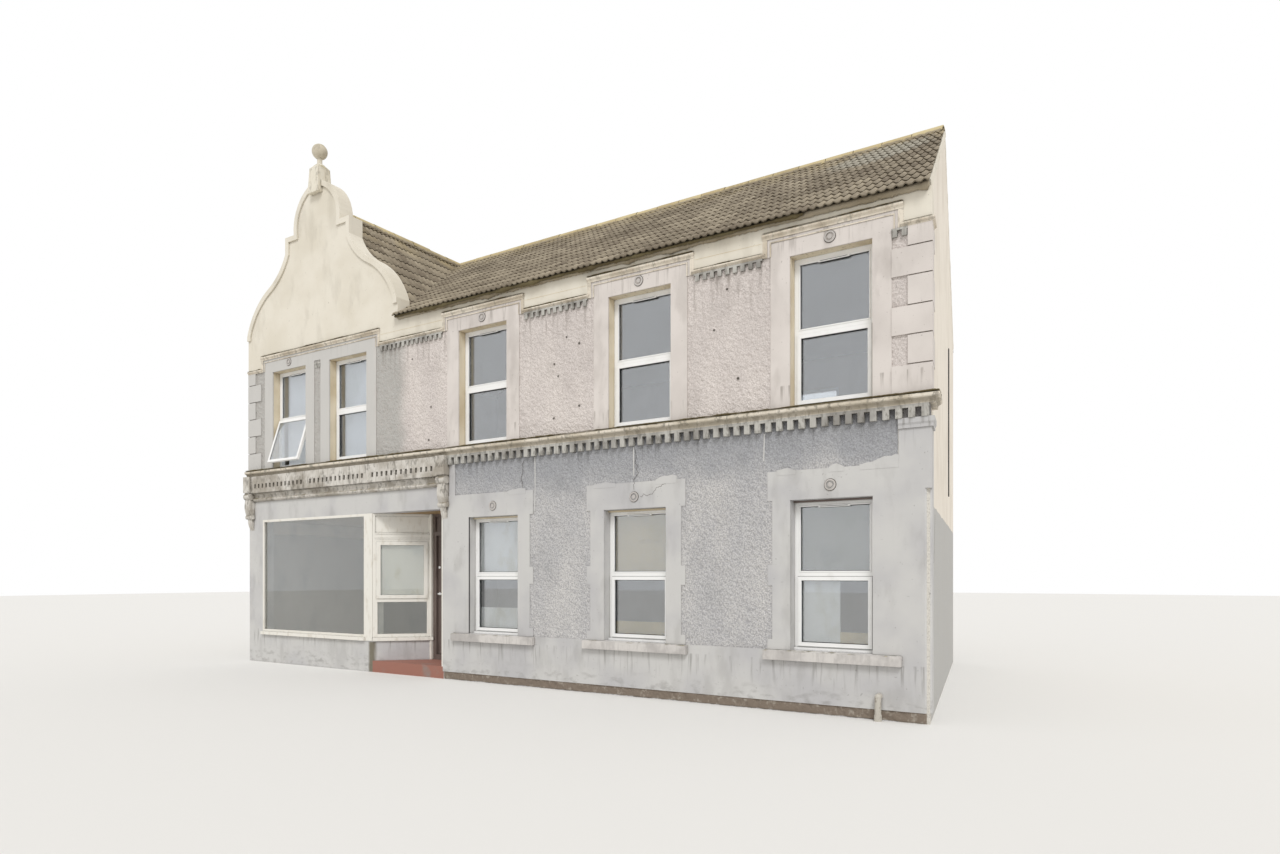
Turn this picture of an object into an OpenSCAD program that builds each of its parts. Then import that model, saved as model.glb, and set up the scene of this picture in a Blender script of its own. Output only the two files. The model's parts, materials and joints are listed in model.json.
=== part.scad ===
// Two-storey corner shop with a curved gable, rendered walls and a splayed shopfront.
// Street front faces -Y. Heights are measured from the lowest ground, at the street corner.
// Places along the front are distances from the street corner, and run to the left.

/* [Plan] */
// Length of the street front
front_len = 12550; // [11800:50:13600]
// Depth of the building from front to back
depth = 6940; // [6400:20:8000]
// Angle by which the side wall leans in from square
side_skew = 9; // [0:0.5:12]
// Thickness of the outer walls
wall_t = 230; // [200:5:330]

/* [Levels] */
// Ground floor above the lowest ground
floor_top = 280; // [240:10:400]
// Upper floor above the lowest ground
upper_floor_top = 2950; // [2900:10:3000]
// Edge of the roof tiles at the eaves
eaves_z = 5810; // [5790:5:6000]
// Top of the roof slopes at the ridge
ridge_z = 8280; // [7800:20:8800]
// Top of the string course, where the upper walls begin
string_top = 3620; // [3610:5:3640]

/* [Roof] */
// Overhang of the tiles at the eaves
eaves_over = 150; // [60:5:250]
// Upright thickness of the tile layer
tile_layer = 55; // [40:5:80]
// Upright thickness of the rafters and boards below the tiles
rafter_layer = 110; // [80:5:200]
// Radius of the ridge tiles
ridge_r = 115; // [90:5:140]
// Height of the plain gable at the back above the slopes
rear_parapet = 160; // [100:10:300]

/* [Curved gable] */
// Half of the gable's width at its foot
gable_half = 2080; // [1900:10:2200]
// Height of the gable's foot
gable_foot_z = 6180; // [6150:10:6250]
// Half width where the lower curve turns from hollow to round
sweep_turn_half = 1410; // [1300:10:1550]
// Height where the lower curve turns from hollow to round
sweep_turn_z = 6970; // [6850:10:7050]
// Half width of the square step
step_half = 895; // [850:5:950]
// Height where the lower curve starts below the step
step_low_z = 7500; // [7450:10:7560]
// Top of the square step
step_top_z = 7800; // [7740:10:7850]
// Half width of the upper arch where it rises from the step
arch_half = 640; // [600:5:700]
// Height of the upper arch under the pedestal
arch_top_z = 8600; // [8540:10:8700]
// Rise of the round part of the lower curve from its chord
round_rise = 103; // [60:1:160]
// Fall of the hollow part of the lower curve from its chord
hollow_fall = 62; // [30:1:90]
// Rise of the upper arch from its chord
arch_rise = 165; // [100:5:200]
// Width of the raised border along the curve
coping_w = 90; // [60:5:120]
// Amount by which the border stands out
coping_out = 28; // [15:1:50]
// Width of the pedestal at its foot
pedestal_w = 290; // [240:5:340]
// Amount by which the pedestal stands out from the gable
pedestal_out = 95; // [60:5:140]
// Top of the pedestal's shaft
pedestal_top_z = 8850; // [8800:10:8950]
// Radius of the ball
ball_r = 133; // [110:1:160]
// Height of the sloped cap over the pedestal's shaft
pedestal_cap = 90; // [60:5:120]
// Height of the neck between the cap and the ball
ball_neck = 92; // [40:2:130]

/* [Windows] */
// Width of the sash windows
win_w = 980; // [850:5:1000]
// Width of the pier between the shopfront and the first ground floor window
pier_w = 557; // [500:1:650]
// Middles of the other ground floor windows from the street corner
plain_low_win_x = [3795, 1105]; // [1000:5:5000]
// Distances of the two gable windows from the left and the right foot of the gable
gable_pier = [760, 775]; // [700:5:850]
// Middles of the other upper windows from the street corner
plain_high_win_x = [6530, 3722, 1110]; // [1000:2:7000]
// Sill of the ground floor windows
low_sill_z = 735; // [700:5:760]
// Head of the ground floor windows
low_head_z = 2515; // [2450:5:2530]
// Head of the upper windows
high_head_z = 5410; // [5350:5:5415]
// Depth of the window frames behind the wall face
reveal = 125; // [80:5:140]
// Thickness of the window frames
frame_d = 70; // [50:5:80]
// Width of the outer frame members
frame_w = 58; // [40:2:80]
// Width of the opening sash members
sash_w = 46; // [30:2:60]
// Thickness of the opening sashes
sash_d = 44; // [30:1:60]
// Amount by which a closed sash stands out from its frame
sash_proud = 16; // [8:1:24]
// Projection of the nose below each window frame
nose_out = 45; // [20:1:60]
// Height of that nose
nose_h = 28; // [16:1:40]
// Thickness of the glass units
glass_t = 24; // [12:1:28]
// Angle at which the first upper window stands open
open_angle = 17; // [10:1:25]
// Middles of the plain windows in the back wall from the street corner
plain_back_win_x = [6530, 3718]; // [3000:2:7000]

/* [Shopfront] */
// Width of the left pilaster of the shopfront
shop_pier_w = 420; // [350:5:480]
// Distance from the street corner to the right side of the shopfront
shop_right = 7360; // [7300:5:7400]
// Width of the entrance along the front, up to the post of the shop window
entrance_w = 1670; // [1600:5:1740]
// Width of the post between the shop window and the entrance
post_w = 180; // [120:5:200]
// Depth of the entrance recess
recess_d = 700; // [620:10:760]
// Underside of the shop fascia
fascia_low = 2670; // [2650:5:2700]
// Top of the shop fascia
fascia_top = 3020; // [3000:5:3040]
// Top of the stall riser
riser_top = 520; // [450:5:540]
// Thickness of the stall riser and of the screen beside the door
screen_t = 90; // [60:5:110]
// Height of the entrance step
step_z = 190; // [150:5:230]
// Projection of the shop cornice
cornice_out = 92; // [70:2:100]
// Width of the scrolled brackets
bracket_w = 185; // [160:5:220]
// Projection of the scrolled brackets
bracket_out = 135; // [110:5:170]
// Height of the square head of the scrolled brackets
bracket_head = 300; // [240:5:330]
// Distance from the head of a bracket down to its small scroll
bracket_neck = 460; // [400:5:500]
// Length of the leaf below the small scroll
bracket_leaf = 250; // [180:5:270]
// Width of each slot in the cornice
slot_w = 48; // [30:2:60]
// Distance between slots in the cornice
slot_gap = 116; // [90:2:140]
// Number of groups that the slots in the cornice form
slot_groups = 3; // [1:1:4]
// Solid stretch between two groups of slots
slot_rest = 190; // [120:10:300]
// Height of each slot in the cornice
slot_h = 78; // [50:2:90]
// Height of the slots above the slab's lower edge
slot_foot = 85; // [60:5:120]
// Depth of each slot in the cornice
slot_deep = 30; // [15:1:45]
// Height of the slab under the string course
slab_h = 310; // [270:5:330]
// Width of the shop window's frame members
shop_frame_w = 45; // [35:1:60]
// Thickness of the shopfront glass
shop_glass_t = 12; // [6:1:16]
// Height of the sill of the shopfront
shop_sill_h = 55; // [40:1:65]
// Projection of the sill below the shop window
shop_sill_out = 50; // [20:1:70]
// Height of the rail below the lower pane of the screen
screen_rail = 60; // [40:1:80]
// Height of the lower pane of the screen
low_pane_h = 541; // [480:1:580]
// Height of the rail between the panes of the screen
mid_rail_h = 118; // [100:1:140]
// Height of the casement pane of the screen
high_pane_h = 842; // [780:1:880]
// Distance from the post to the casement pane
pane_in = 130; // [110:1:150]
// Distance from the casement pane to the end of the screen
pane_far = 160; // [140:1:200]
// Height of the rail between the casement pane and the panel above it
panel_rail = 210; // [160:5:240]
// Margin between the top panel of the screen and the fascia
panel_margin = 40; // [25:1:60]
// Depth of the top panel of the screen
panel_deep = 18; // [8:1:25]
// Width of the beads on the rail below the top panel
bead_w = 16; // [8:1:24]
// Projection of the casement over the screen
casement_out = 16; // [8:1:24]
// Width of the casement's frame
casement_w = 70; // [45:1:74]
// Projection of the screen's sill
screen_sill_out = 35; // [15:1:50]
// Width of the white strip on the arris of the pier beside the door
arris_w = 46; // [25:1:60]
// Thickness of that strip
arris_t = 20; // [10:1:30]
// Bedding joint between the top of the screen and the fascia
bed_joint = 0.3; // [0.3:0.1:2]

/* [Door] */
// Clearance around the door leaf
door_gap = 7; // [7:1:10]
// Height of the outer hinges from the ends of the door
hinge_inset = 200; // [150:5:260]
// Width of the door frame members
jamb_w = 50; // [40:2:70]
// Thickness of the door leaf
leaf_t = 44; // [35:1:54]
// Height of the door opening above the floor
door_h = 2040; // [1950:10:2100]

// Width of the door stop
stop_w = 20; // [12:1:30]
// Width of the door leaf's rails and stiles
door_rail = 110; // [90:2:130]
// Height of the handle above the floor
handle_h = 1030; // [950:10:1100]
// Length of the handle's lever
lever_len = 115; // [90:5:135]
// Distance of the lever from the door's face
lever_out = 34; // [25:1:45]
// Radius of the handle's round plate
rose_r = 24; // [18:1:30]
// Height of the lock above the floor
lock_h = 1480; // [1400:10:1560]
// Length of the butt hinges
hinge_len = 100; // [75:5:120]
// Radius of the hinge knuckles
hinge_r = 8; // [6:0.5:9]
// Depth of the hinge plates from the face of the door
hinge_plate = 30; // [20:1:34]
// Slip between the hinge knuckles
hinge_slip = 0.3; // [0.3:0.05:0.6]

/* [Mouldings] */
// Thickness of the smooth render bands over the wall face
band_t = 20; // [12:1:35]
// Thickness of the frieze over the wall face
frieze_t = 24; // [15:1:40]
// Projection of the string course
string_out = 108; // [100:2:140]
// Underside of the string course
string_low = 3490; // [3470:5:3500]
// Underside of the dentils below the string course
dentil_low = 3345; // [3320:5:3380]
// Projection of the dentils
dentil_out = 60; // [40:5:90]
// Width of each dentil
dentil_w = 72; // [50:2:90]
// Distance between dentils
dentil_gap = 140; // [120:5:180]
// Projection of the upper moulding
label_out = 55; // [40:5:80]
// Underside of the upper moulding over the windows
label_high = 5660; // [5640:5:5680]
// Height of the upper moulding over the windows
label_h = 86; // [60:2:100]
// Underside of the upper moulding between the windows
label_low = 5450; // [5440:2:5460]
// Height of the upper moulding between the windows
label_low_h = 60; // [45:1:80]
// Height of the small dentils below the upper moulding
small_dentil_h = 95; // [70:5:100]
// Width of the upright bars where the upper moulding steps up
label_bar = 60; // [30:2:80]
// Distance of the fine inner line from the raised moulding
label_line_in = 34; // [20:2:60]
// Width of the fine inner line
label_line_w = 14; // [8:1:20]
// Width of the fine teeth over the gable windows
fine_tooth_w = 30; // [20:1:45]
// Distance between the fine teeth
fine_tooth_gap = 52; // [40:1:80]
// Distance from a window to the end of its raised moulding
label_side = 345; // [320:5:370]
// Distance from an upper window to the side of its render surround
surround_side = 245; // [200:5:280]
// Distance from a ground floor window to the side of its surround
ear_side = 290; // [260:5:300]
// Depth of the notches in the ground floor surrounds
notch = 62; // [40:2:80]
// Height of the ears at the top of the ground floor surrounds
ear_h = 350; // [280:5:420]
// Height of the blocks at the middle of those surrounds
ear_block_h = 250; // [180:5:320]
// Top of the ground floor surrounds
ear_top = 2865; // [2820:5:2900]
// Projection of the stone sills
sill_out = 85; // [60:5:120]
// Height of the stone sills
sill_h = 120; // [90:5:140]
// Distance from a window to the end of its stone sill
sill_side = 325; // [300:5:340]
// Bottom edge of the painted plinth
plinth_low = 120; // [80:10:200]
// Length of the long corner blocks
quoin_long = 405; // [380:5:440]
// Length of the short corner blocks
quoin_short = 230; // [200:5:280]
// Thickness of the corner blocks
quoin_t = 30; // [20:1:45]
// Height of the corner blocks
quoin_h = 310; // [290:2:320]
// Width of the joint between corner blocks
quoin_joint = 14; // [8:1:20]
// Width of the corner pilaster
pilaster_w = 330; // [300:5:380]
// Width of the flat that is cut along the corner
chamfer = 75; // [40:5:100]
// Top of the cut corner
chamfer_top = 2570; // [2400:10:2700]
// Outer radius of the round plaques
plaque_r = 66; // [50:1:80]
// Length of the upper moulding and frieze along the side wall
frieze_back = 260; // [200:5:400]
// Length of the string course along the side wall
string_back = 420; // [350:5:600]
// Distance from the street corner to the drain pipe
pipe_x = 540; // [400:10:800]
// Radius of the drain pipe
pipe_r = 36; // [28:1:45]
// Height of the bend of the drain pipe
pipe_z = 270; // [200:5:330]
// Radius of the gutter at the back
gutter_r = 60; // [50:1:70]

/* [Hidden] */
$fn = 48;
eps = 0.01;
gable_mid = front_len - gable_half;
low_win_x = concat([shop_right - pier_w - win_w / 2], plain_low_win_x);
gable_edge = front_len - 2 * gable_half;
gable_win_x = [front_len - gable_pier[0] - win_w / 2, gable_edge + gable_pier[1] + win_w / 2];
high_win_x = concat(gable_win_x, plain_high_win_x);
back_win_x = concat([gable_mid], plain_back_win_x);
post_right = shop_right + entrance_w;
cap_top_z = pedestal_top_z + pedestal_cap;
ball_z = cap_top_z + ball_neck + ball_r;
bracket_edge = shop_right - bracket_w * 0.75;
bracket_foot_z = string_low - bracket_head - bracket_neck - bracket_leaf;
front_y = -depth / 2;
back_y = depth / 2;
pedestal_y = front_y - frieze_t - pedestal_out + pedestal_w / 2;
inner_y = front_y + wall_t;
inner_back_y = back_y - wall_t;
left_x = -front_len / 2;
inner_left_x = left_x + wall_t;
gable_x = left_x + gable_half;
gable_right = gable_x + gable_half;
main_slope = (ridge_z - eaves_z) / (depth / 2 + eaves_over);
cross_slope = main_slope * (depth / 2 - wall_t) / gable_half;
recess_left = post_right - recess_d;
shop_left = front_len - shop_pier_w;
door_w = recess_left - shop_right - 2 * jamb_w;
leaf_w = door_w - 2 * door_gap;
door_head = floor_top + door_h;
label_reach = win_w / 2 + label_side;
raise_ends = [for (x = plain_high_win_x) [x + label_reach, x - label_reach]];
pair_left = high_win_x[0] + label_reach;
pair_right = high_win_x[1] - label_reach;
label_spans = concat([[pair_left, pair_right]], raise_ends);
low_ends = concat([front_len], [for (s = label_spans) s[1]]);
low_starts = concat([for (s = label_spans) s[0]], [0]);
strip_left = high_win_x[0] - win_w / 2 - surround_side;
strip_right = high_win_x[1] + win_w / 2 + surround_side;
screen_len = recess_d * sqrt(2);
screen_pane_w = screen_len - pane_in - pane_far;
shop_sill_z = riser_top + shop_sill_h;
low_pane_z = shop_sill_z + screen_rail;
mid_rail_z = low_pane_z + low_pane_h;
high_pane_z = mid_rail_z + mid_rail_h;
pane_top_z = high_pane_z + high_pane_h;
hinge_z = [floor_top + hinge_inset, floor_top + door_h / 2, door_head - hinge_inset];
hinge_x = fx(shop_right) - jamb_w - door_gap / 2;
hinge_y = front_y + recess_d + screen_t + hinge_r + 1;
sash_bar = frame_w * 1.1;
sash_lap = 14;

// Place along the front, from the street corner, as an X coordinate
function fx(x) = front_len / 2 - x;
// X of the side wall's face at a given Y, moved out by a distance square to the wall
function side_x(y, out = 0) = front_len / 2 - (y - front_y) * tan(side_skew) + out / cos(side_skew);
// Points on an arc from p to q that rises from its chord to the left by the given amount
function arc(p, q, rise, n = 10) =
    let (half = norm(q - p) / 2, r = (half * half + rise * rise) / (2 * abs(rise)), s = sign(rise),
         along = (q - p) / norm(q - p), left = [-along[1], along[0]] * s,
         c = (p + q) / 2 + left * (abs(rise) - r), turn = asin(half / r))
    [for (i = [0:n]) let (a = -turn + 2 * turn * i / n) c + r * (along * sin(a) + left * cos(a))];

// A flat shape stood up facing the street, from y to y + t
module upright(y, t) {
    translate([0, y + t, 0]) rotate([90, 0, 0]) linear_extrude(t) children();
}

// A profile in Y and Z carried along X between two places
module along_x(x0, x1) {
    translate([x0, 0, 0]) rotate([90, 0, 90]) linear_extrude(x1 - x0) children();
}

// A rectangle between two places from the street corner
module span(x_left, x_right, z0, z1) {
    translate([fx(x_left), z0]) square([x_left - x_right, z1 - z0]);
}

// Ground plan of the inside, between the inner faces of the walls
module inside_plan(y0 = inner_y, y1 = inner_back_y) {
    polygon([[inner_left_x, y0], [side_x(y0, -wall_t), y0], [side_x(y1, -wall_t), y1], [inner_left_x, y1]]);
}

// A moulding on the front from the place x_left to the street corner and back along the side.
// The profile stands at its left end, on the mitre and at its far end, and base is the
// thickness of the coat that carries it
module corner_run(x_left, back, out, z, h, base = 0, fall = 0.25) {
    end_y = front_y + back;
    profile = [for (p = moulding(out, z, h, fall)) [p[0] > 0 ? p[0] + base : base / 2, p[1]]];
    n = len(profile);
    left_end = [for (p = profile) [fx(x_left), front_y - p[0], p[1]]];
    mitre = [for (p = profile) [side_x(front_y - p[0], p[0]), front_y - p[0], p[1]]];
    far_end = [for (p = profile) [side_x(end_y, p[0]), end_y, p[1]]];
    sides = [for (k = [0, n], i = [0:n - 1]) [k + i, k + (i + 1) % n, k + n + (i + 1) % n, k + n + i]];
    polyhedron(concat(left_end, mitre, far_end),
               concat([[for (i = [n - 1:-1:0]) i]], sides, [[for (i = [0:n - 1]) 2 * n + i]]));
}

// Ground plan within the outer faces of the front and side walls
module outer_plan() {
    polygon([[left_x, front_y], [side_x(front_y), front_y], [side_x(inner_y), inner_y],
             [side_x(inner_back_y), inner_back_y], [left_x, inner_back_y]]);
}

// A flat coat of render round the street corner, from the place x_left
module corner_coat(x_left, back, t, z0, z1) {
    end_y = front_y + back;
    translate([0, 0, z0]) linear_extrude(z1 - z0) difference() {
        polygon([[fx(x_left), front_y - t], [side_x(front_y - t, t), front_y - t],
                 [side_x(end_y, t), end_y], [side_x(end_y, -t), end_y],
                 [side_x(front_y + t, -t), front_y + t], [fx(x_left), front_y + t]]);
        outer_plan();
    }
}

// Outline of the curved gable above its foot
function gable_side() = concat(
    [[gable_half, gable_foot_z]],
    arc([gable_half, gable_foot_z], [sweep_turn_half, sweep_turn_z], -round_rise),
    arc([sweep_turn_half, sweep_turn_z], [step_half, step_low_z], hollow_fall),
    [[step_half, step_top_z], [arch_half, step_top_z]],
    arc([arch_half, step_top_z], [pedestal_w / 2, arch_top_z], -arch_rise));

module gable_shape(base_z) {
    s = gable_side();
    translate([gable_x, 0])
        polygon(concat([[-gable_half, base_z], [gable_half, base_z]], s,
                       [for (i = [len(s) - 1:-1:0]) [-s[i][0], s[i][1]]]));
}

// The flat cut along the corner, as a prism that stands outside it
module corner_cut() {
    corner = [side_x(front_y - band_t, band_t), front_y - band_t];
    on_front = corner - [chamfer, 0];
    on_side = corner + chamfer * [-sin(side_skew), cos(side_skew)];
    spare = (on_side - on_front) / 2;
    translate([0, 0, plinth_low]) linear_extrude(chamfer_top - plinth_low)
        polygon([on_front - spare, corner + 1.5 * [chamfer, -chamfer], on_side + spare]);
}

// Height of the main slopes' top at a given Y
function main_z(y) = ridge_z - main_slope * abs(y);

module ground_floor() {
    color("dimgray") difference() {
        linear_extrude(floor_top) inside_plan();
        translate([0, 0, -1]) linear_extrude(floor_top + 2) recess_plan();
    }
}

// Plan of the recess with its screen, the post at its end and its side wall
module recess_plan() {
    run = screen_t * sqrt(2);
    deep = recess_d + screen_t;
    polygon([[fx(post_right) - run, front_y], [fx(post_right) - run + deep, front_y + deep],
             [fx(shop_right) + wall_t, front_y + deep], [fx(shop_right) + wall_t, front_y]]);
    end_post_plan();
}

module upper_floor() {
    color("tan") translate([0, 0, fascia_low]) linear_extrude(upper_floor_top - fascia_low) inside_plan();
}

module wall_plan(x0, y0, y1) {
    polygon([[x0, y0], [side_x(y0), y0], [side_x(y1), y1], [x0, y1]]);
}

module ground_front_wall() {
    color("lightslategray") difference() {
        union() {
            linear_extrude(fascia_top) wall_plan(fx(shop_right), front_y, inner_y);
            translate([fx(shop_right), inner_y - eps, 0])
                cube([wall_t, recess_d + screen_t - wall_t + eps, fascia_low]);
        }
        for (x = low_win_x)
            upright(front_y - 1, wall_t + 2) span(x + win_w / 2, x - win_w / 2, low_sill_z, low_head_z);
        corner_cut();
    }
}

module upper_front_wall() {
    color("lavender") difference() {
        union() {
            intersection() {
                along_x(gable_right, front_len / 2)
                    polygon([[front_y, fascia_top], [inner_y, fascia_top],
                             [inner_y, main_z(inner_y) - tile_layer],
                             [front_y, main_z(front_y) - tile_layer]]);
                prism() wall_plan(gable_right, front_y, inner_y);
            }
            translate([left_x, front_y, fascia_top])
                cube([gable_right - left_x + eps, wall_t, eaves_z - fascia_top]);
        }
        for (x = high_win_x)
            upright(front_y - 1, wall_t + 2) span(x + win_w / 2, x - win_w / 2, string_top, high_head_z);
    }
}

module side_wall() {
    color("antiquewhite") intersection() {
        along_x(0, front_len)
            polygon([[inner_y, 0], [inner_back_y, 0], [inner_back_y, main_z(inner_back_y) - tile_layer],
                     [0, ridge_z - tile_layer], [inner_y, main_z(inner_y) - tile_layer]]);
        translate([0, 0, -1]) linear_extrude(ridge_z + 2)
            polygon([[side_x(inner_y, -wall_t), inner_y], [side_x(inner_y), inner_y],
                     [side_x(inner_back_y), inner_back_y], [side_x(inner_back_y, -wall_t), inner_back_y]]);
    }
}

module back_wall() {
    color("antiquewhite") difference() {
        union() {
            intersection() {
                along_x(gable_right, front_len / 2)
                    polygon([[inner_back_y, 0], [back_y, 0], [back_y, main_z(back_y) - tile_layer],
                             [inner_back_y, main_z(inner_back_y) - tile_layer]]);
                translate([0, 0, -1]) linear_extrude(ridge_z) wall_plan(gable_right, inner_back_y, back_y);
            }
            translate([left_x, inner_back_y, 0]) cube([gable_right - left_x + eps, wall_t, eaves_z]);
        }
        for (x = back_win_x) {
            upright(inner_back_y - 1, wall_t + 2) span(x + win_w / 2, x - win_w / 2, low_sill_z, low_head_z);
            upright(inner_back_y - 1, wall_t + 2) span(x + win_w / 2, x - win_w / 2, string_top, high_head_z);
        }
    }
}

module left_wall() {
    color("antiquewhite") difference() {
        translate([left_x, inner_y, 0]) cube([wall_t, inner_back_y - inner_y, ridge_z]);
        cross_layer(-ridge_z, tile_layer);
    }
}

module back_gable() {
    foot = ridge_z - cross_slope * gable_half + rear_parapet;
    color("antiquewhite") upright(inner_back_y, wall_t)
        polygon([[left_x, eaves_z], [gable_right, eaves_z], [gable_right, foot],
                 [gable_x, ridge_z + rear_parapet], [left_x, foot]]);
}

module curved_gable() {
    color("cornsilk") upright(front_y - frieze_t, wall_t + frieze_t) gable_shape(eaves_z);
}

module gable_coping() {
    color("beige") upright(front_y - frieze_t - coping_out, coping_out) difference() {
        gable_shape(gable_foot_z - coping_w);
        offset(delta = -coping_w) gable_shape(gable_foot_z - 3 * coping_w);
        translate([gable_x - pedestal_w / 2, pedestal_foot_z()]) square([pedestal_w, pedestal_w * 3]);
    }
}

function pedestal_foot_z() = arch_top_z - pedestal_w * 0.7;

// A thin square plate on the pedestal's upright axis
module pedestal_plate(width, z) {
    translate([gable_x - width / 2, pedestal_y - width / 2, z]) cube([width, width, 2]);
}

// A shaft that narrows upwards, its sloped cap and the neck below the ball
module gable_pedestal() {
    waist = pedestal_w * 0.84;
    neck = pedestal_w * 0.3;
    color("cornsilk") difference() {
        union() {
            hull() {
                pedestal_plate(pedestal_w, pedestal_foot_z());
                pedestal_plate(waist, pedestal_top_z - 2);
            }
            hull() {
                pedestal_plate(waist, pedestal_top_z - 2);
                pedestal_plate(neck, cap_top_z);
            }
            translate([gable_x, pedestal_y, cap_top_z]) cylinder(r = neck / 2, h = ball_neck + 8);
        }
        upright(front_y - frieze_t, wall_t + frieze_t) gable_shape(eaves_z);
        gable_ball();
    }
}

module gable_ball() {
    color("wheat") translate([gable_x, pedestal_y, ball_z]) sphere(r = ball_r);
}

// Plan of the main roof's tiles between the valley and the verge, to the street with side = -1
// and to the back with side = 1
module main_plan(side) {
    eaves_y = side * (back_y + eaves_over);
    polygon([[gable_x, 0], [gable_right, side * inner_back_y], [gable_right, eaves_y],
             [side_x(eaves_y), eaves_y], [side_x(0), 0]]);
}

// A layer of the main slopes, from a depth below the top to another
module main_layer(d0, d1) {
    low = main_z(depth);
    along_x(left_x, front_len / 2 + eaves_over)
        polygon([[-depth, low - d0], [0, ridge_z - d0], [depth, low - d0],
                 [depth, low - d1], [0, ridge_z - d1], [-depth, low - d1]]);
}

module cross_layer(d0, d1) {
    low = ridge_z - cross_slope * depth;
    upright(-depth, 2 * depth) translate([gable_x, 0])
        polygon([[-depth, low - d0], [0, ridge_z - d0], [depth, low - d0],
                 [depth, low - d1], [0, ridge_z - d1], [-depth, low - d1]]);
}

module prism() {
    linear_extrude(2 * ridge_z) children();
}

// Tiles over a whole slope, with the rafters below them inside the walls
module main_roof(side) {
    color("rosybrown") {
        intersection() {
            main_layer(0, tile_layer);
            prism() main_plan(side);
        }
        intersection() {
            main_layer(0, tile_layer + rafter_layer);
            prism() intersection() {
                main_plan(side);
                inside_plan();
            }
        }
    }
}

module roof_front_slope() {
    main_roof(-1);
}

module roof_back_slope() {
    main_roof(1);
}

module cross_roof_left() {
    color("rosybrown") {
        intersection() {
            cross_layer(0, tile_layer);
            prism() translate([left_x - eaves_over, inner_y])
                square([gable_half + eaves_over, inner_back_y - inner_y]);
        }
        intersection() {
            cross_layer(0, tile_layer + rafter_layer);
            prism() translate([inner_left_x, inner_y]) square([gable_half - wall_t, inner_back_y - inner_y]);
        }
    }
}

// The two parts of the right slope, in front of the main ridge and behind it
module cross_roof_right() {
    tip = 6;
    reach = inner_back_y;
    color("rosybrown") intersection() {
        cross_layer(0, tile_layer + rafter_layer);
        prism() difference() {
            union() {
                polygon([[gable_x, -reach], [gable_right, -reach], [gable_x, 0]]);
                polygon([[gable_x, reach], [gable_right, reach], [gable_x, 0]]);
            }
            translate([gable_x - 1, -tip]) square([gable_half, 2 * tip]);
        }
    }
}

// Half-round ridges over both roofs. Where they meet, the cross ridge is cut in a mitre over the
// valleys, and the main ridge starts where it is as wide as that mitre
module ridge_tiles() {
    drop = ridge_r * 0.45;
    cross_low = ridge_z - cross_slope * depth;
    color("darkkhaki") {
        along_x(gable_x + ridge_r * gable_half / inner_back_y, side_x(0)) difference() {
            translate([0, ridge_z - drop]) circle(r = ridge_r);
            polygon([[0, ridge_z], [depth, main_z(depth)], [0, 0], [-depth, main_z(depth)]]);
        }
        difference() {
            upright(inner_y, inner_back_y - inner_y) translate([gable_x, 0]) difference() {
                translate([0, ridge_z - drop]) circle(r = ridge_r);
                polygon([[0, ridge_z], [depth, cross_low], [0, 0], [-depth, cross_low]]);
            }
            prism() for (side = [-1, 1]) main_plan(side);
        }
    }
}

// Points of a moulding that stands out by out, from z to z + h, with a top that falls outward by
// a share of h
function moulding(out, z, h, fall = 0.25) =
    [[0, z], [0.55 * out, z], [0.6 * out, z + 0.3 * h], [out, z + 0.5 * h],
     [out, z + (1 - fall) * h], [0, z + h]];

// A moulding on the front only, between two places from the street corner
module front_moulding(x_left, x_right, base_y, out, z, h) {
    along_x(fx(x_left), fx(x_right)) translate([base_y, 0]) mirror([1, 0]) polygon(moulding(out, z, h));
}

module frieze() {
    low = label_low + label_low_h;
    top = main_z(front_y - frieze_t) - tile_layer;
    corner_left = low_ends[len(low_ends) - 1];
    color("cornsilk") {
        upright(front_y - frieze_t, frieze_t) difference() {
            union() {
                span(front_len, gable_edge, low, eaves_z);
                span(gable_edge, corner_left / 2, low, top);
            }
            for (s = label_spans) span(s[0], s[1], low - 1, label_high + label_h);
        }
        corner_coat(corner_left, frieze_back, frieze_t, low, top);
    }
}

// The upper moulding: low between the windows, raised over them, with a bar at each change
module label_moulding() {
    last = len(low_ends) - 1;
    bar_out = label_out * 0.5;
    bar_top = label_high + label_h / 4;
    line_out = label_line_w * 0.6;
    inner = label_bar + label_line_in;
    outer = inner + label_line_w;
    line_top = label_high - label_line_in;
    color("gainsboro") {
        for (s = label_spans) {
            front_moulding(s[0], s[1], front_y, label_out, label_high, label_h);
            upright(front_y - bar_out, bar_out) {
                span(s[0], s[0] - label_bar, label_low, bar_top);
                span(s[1] + label_bar, s[1], label_low, bar_top);
            }
            upright(front_y - band_t - line_out, line_out) difference() {
                span(s[0] - inner, s[1] + inner, label_low, line_top);
                span(s[0] - outer, s[1] + outer, label_low - 1, line_top - label_line_w);
            }
        }
        for (i = [0:last - 1]) {
            x_left = low_ends[i] + (i > 0 ? label_bar / 2 : 0);
            front_moulding(x_left, low_starts[i] - label_bar / 2, front_y, label_out, label_low, label_low_h);
        }
        corner_run(low_ends[last] + label_bar / 2, frieze_back, label_out, label_low, label_low_h);
    }
}

// A row of square teeth that hang from a thin bed
module teeth(x_left, x_right, out, z_low, z_high, width, gap) {
    room = x_left - x_right - width;
    count = floor(room / gap);
    start = (room - count * gap) / 2;
    bed = (z_high - z_low) / 4;
    upright(front_y - out, out) {
        span(x_left, x_right, z_high - bed, z_high);
        for (i = [0:count]) {
            x = x_left - start - i * gap;
            span(x, x - width, z_low, z_high - bed + eps);
        }
    }
}

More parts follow.
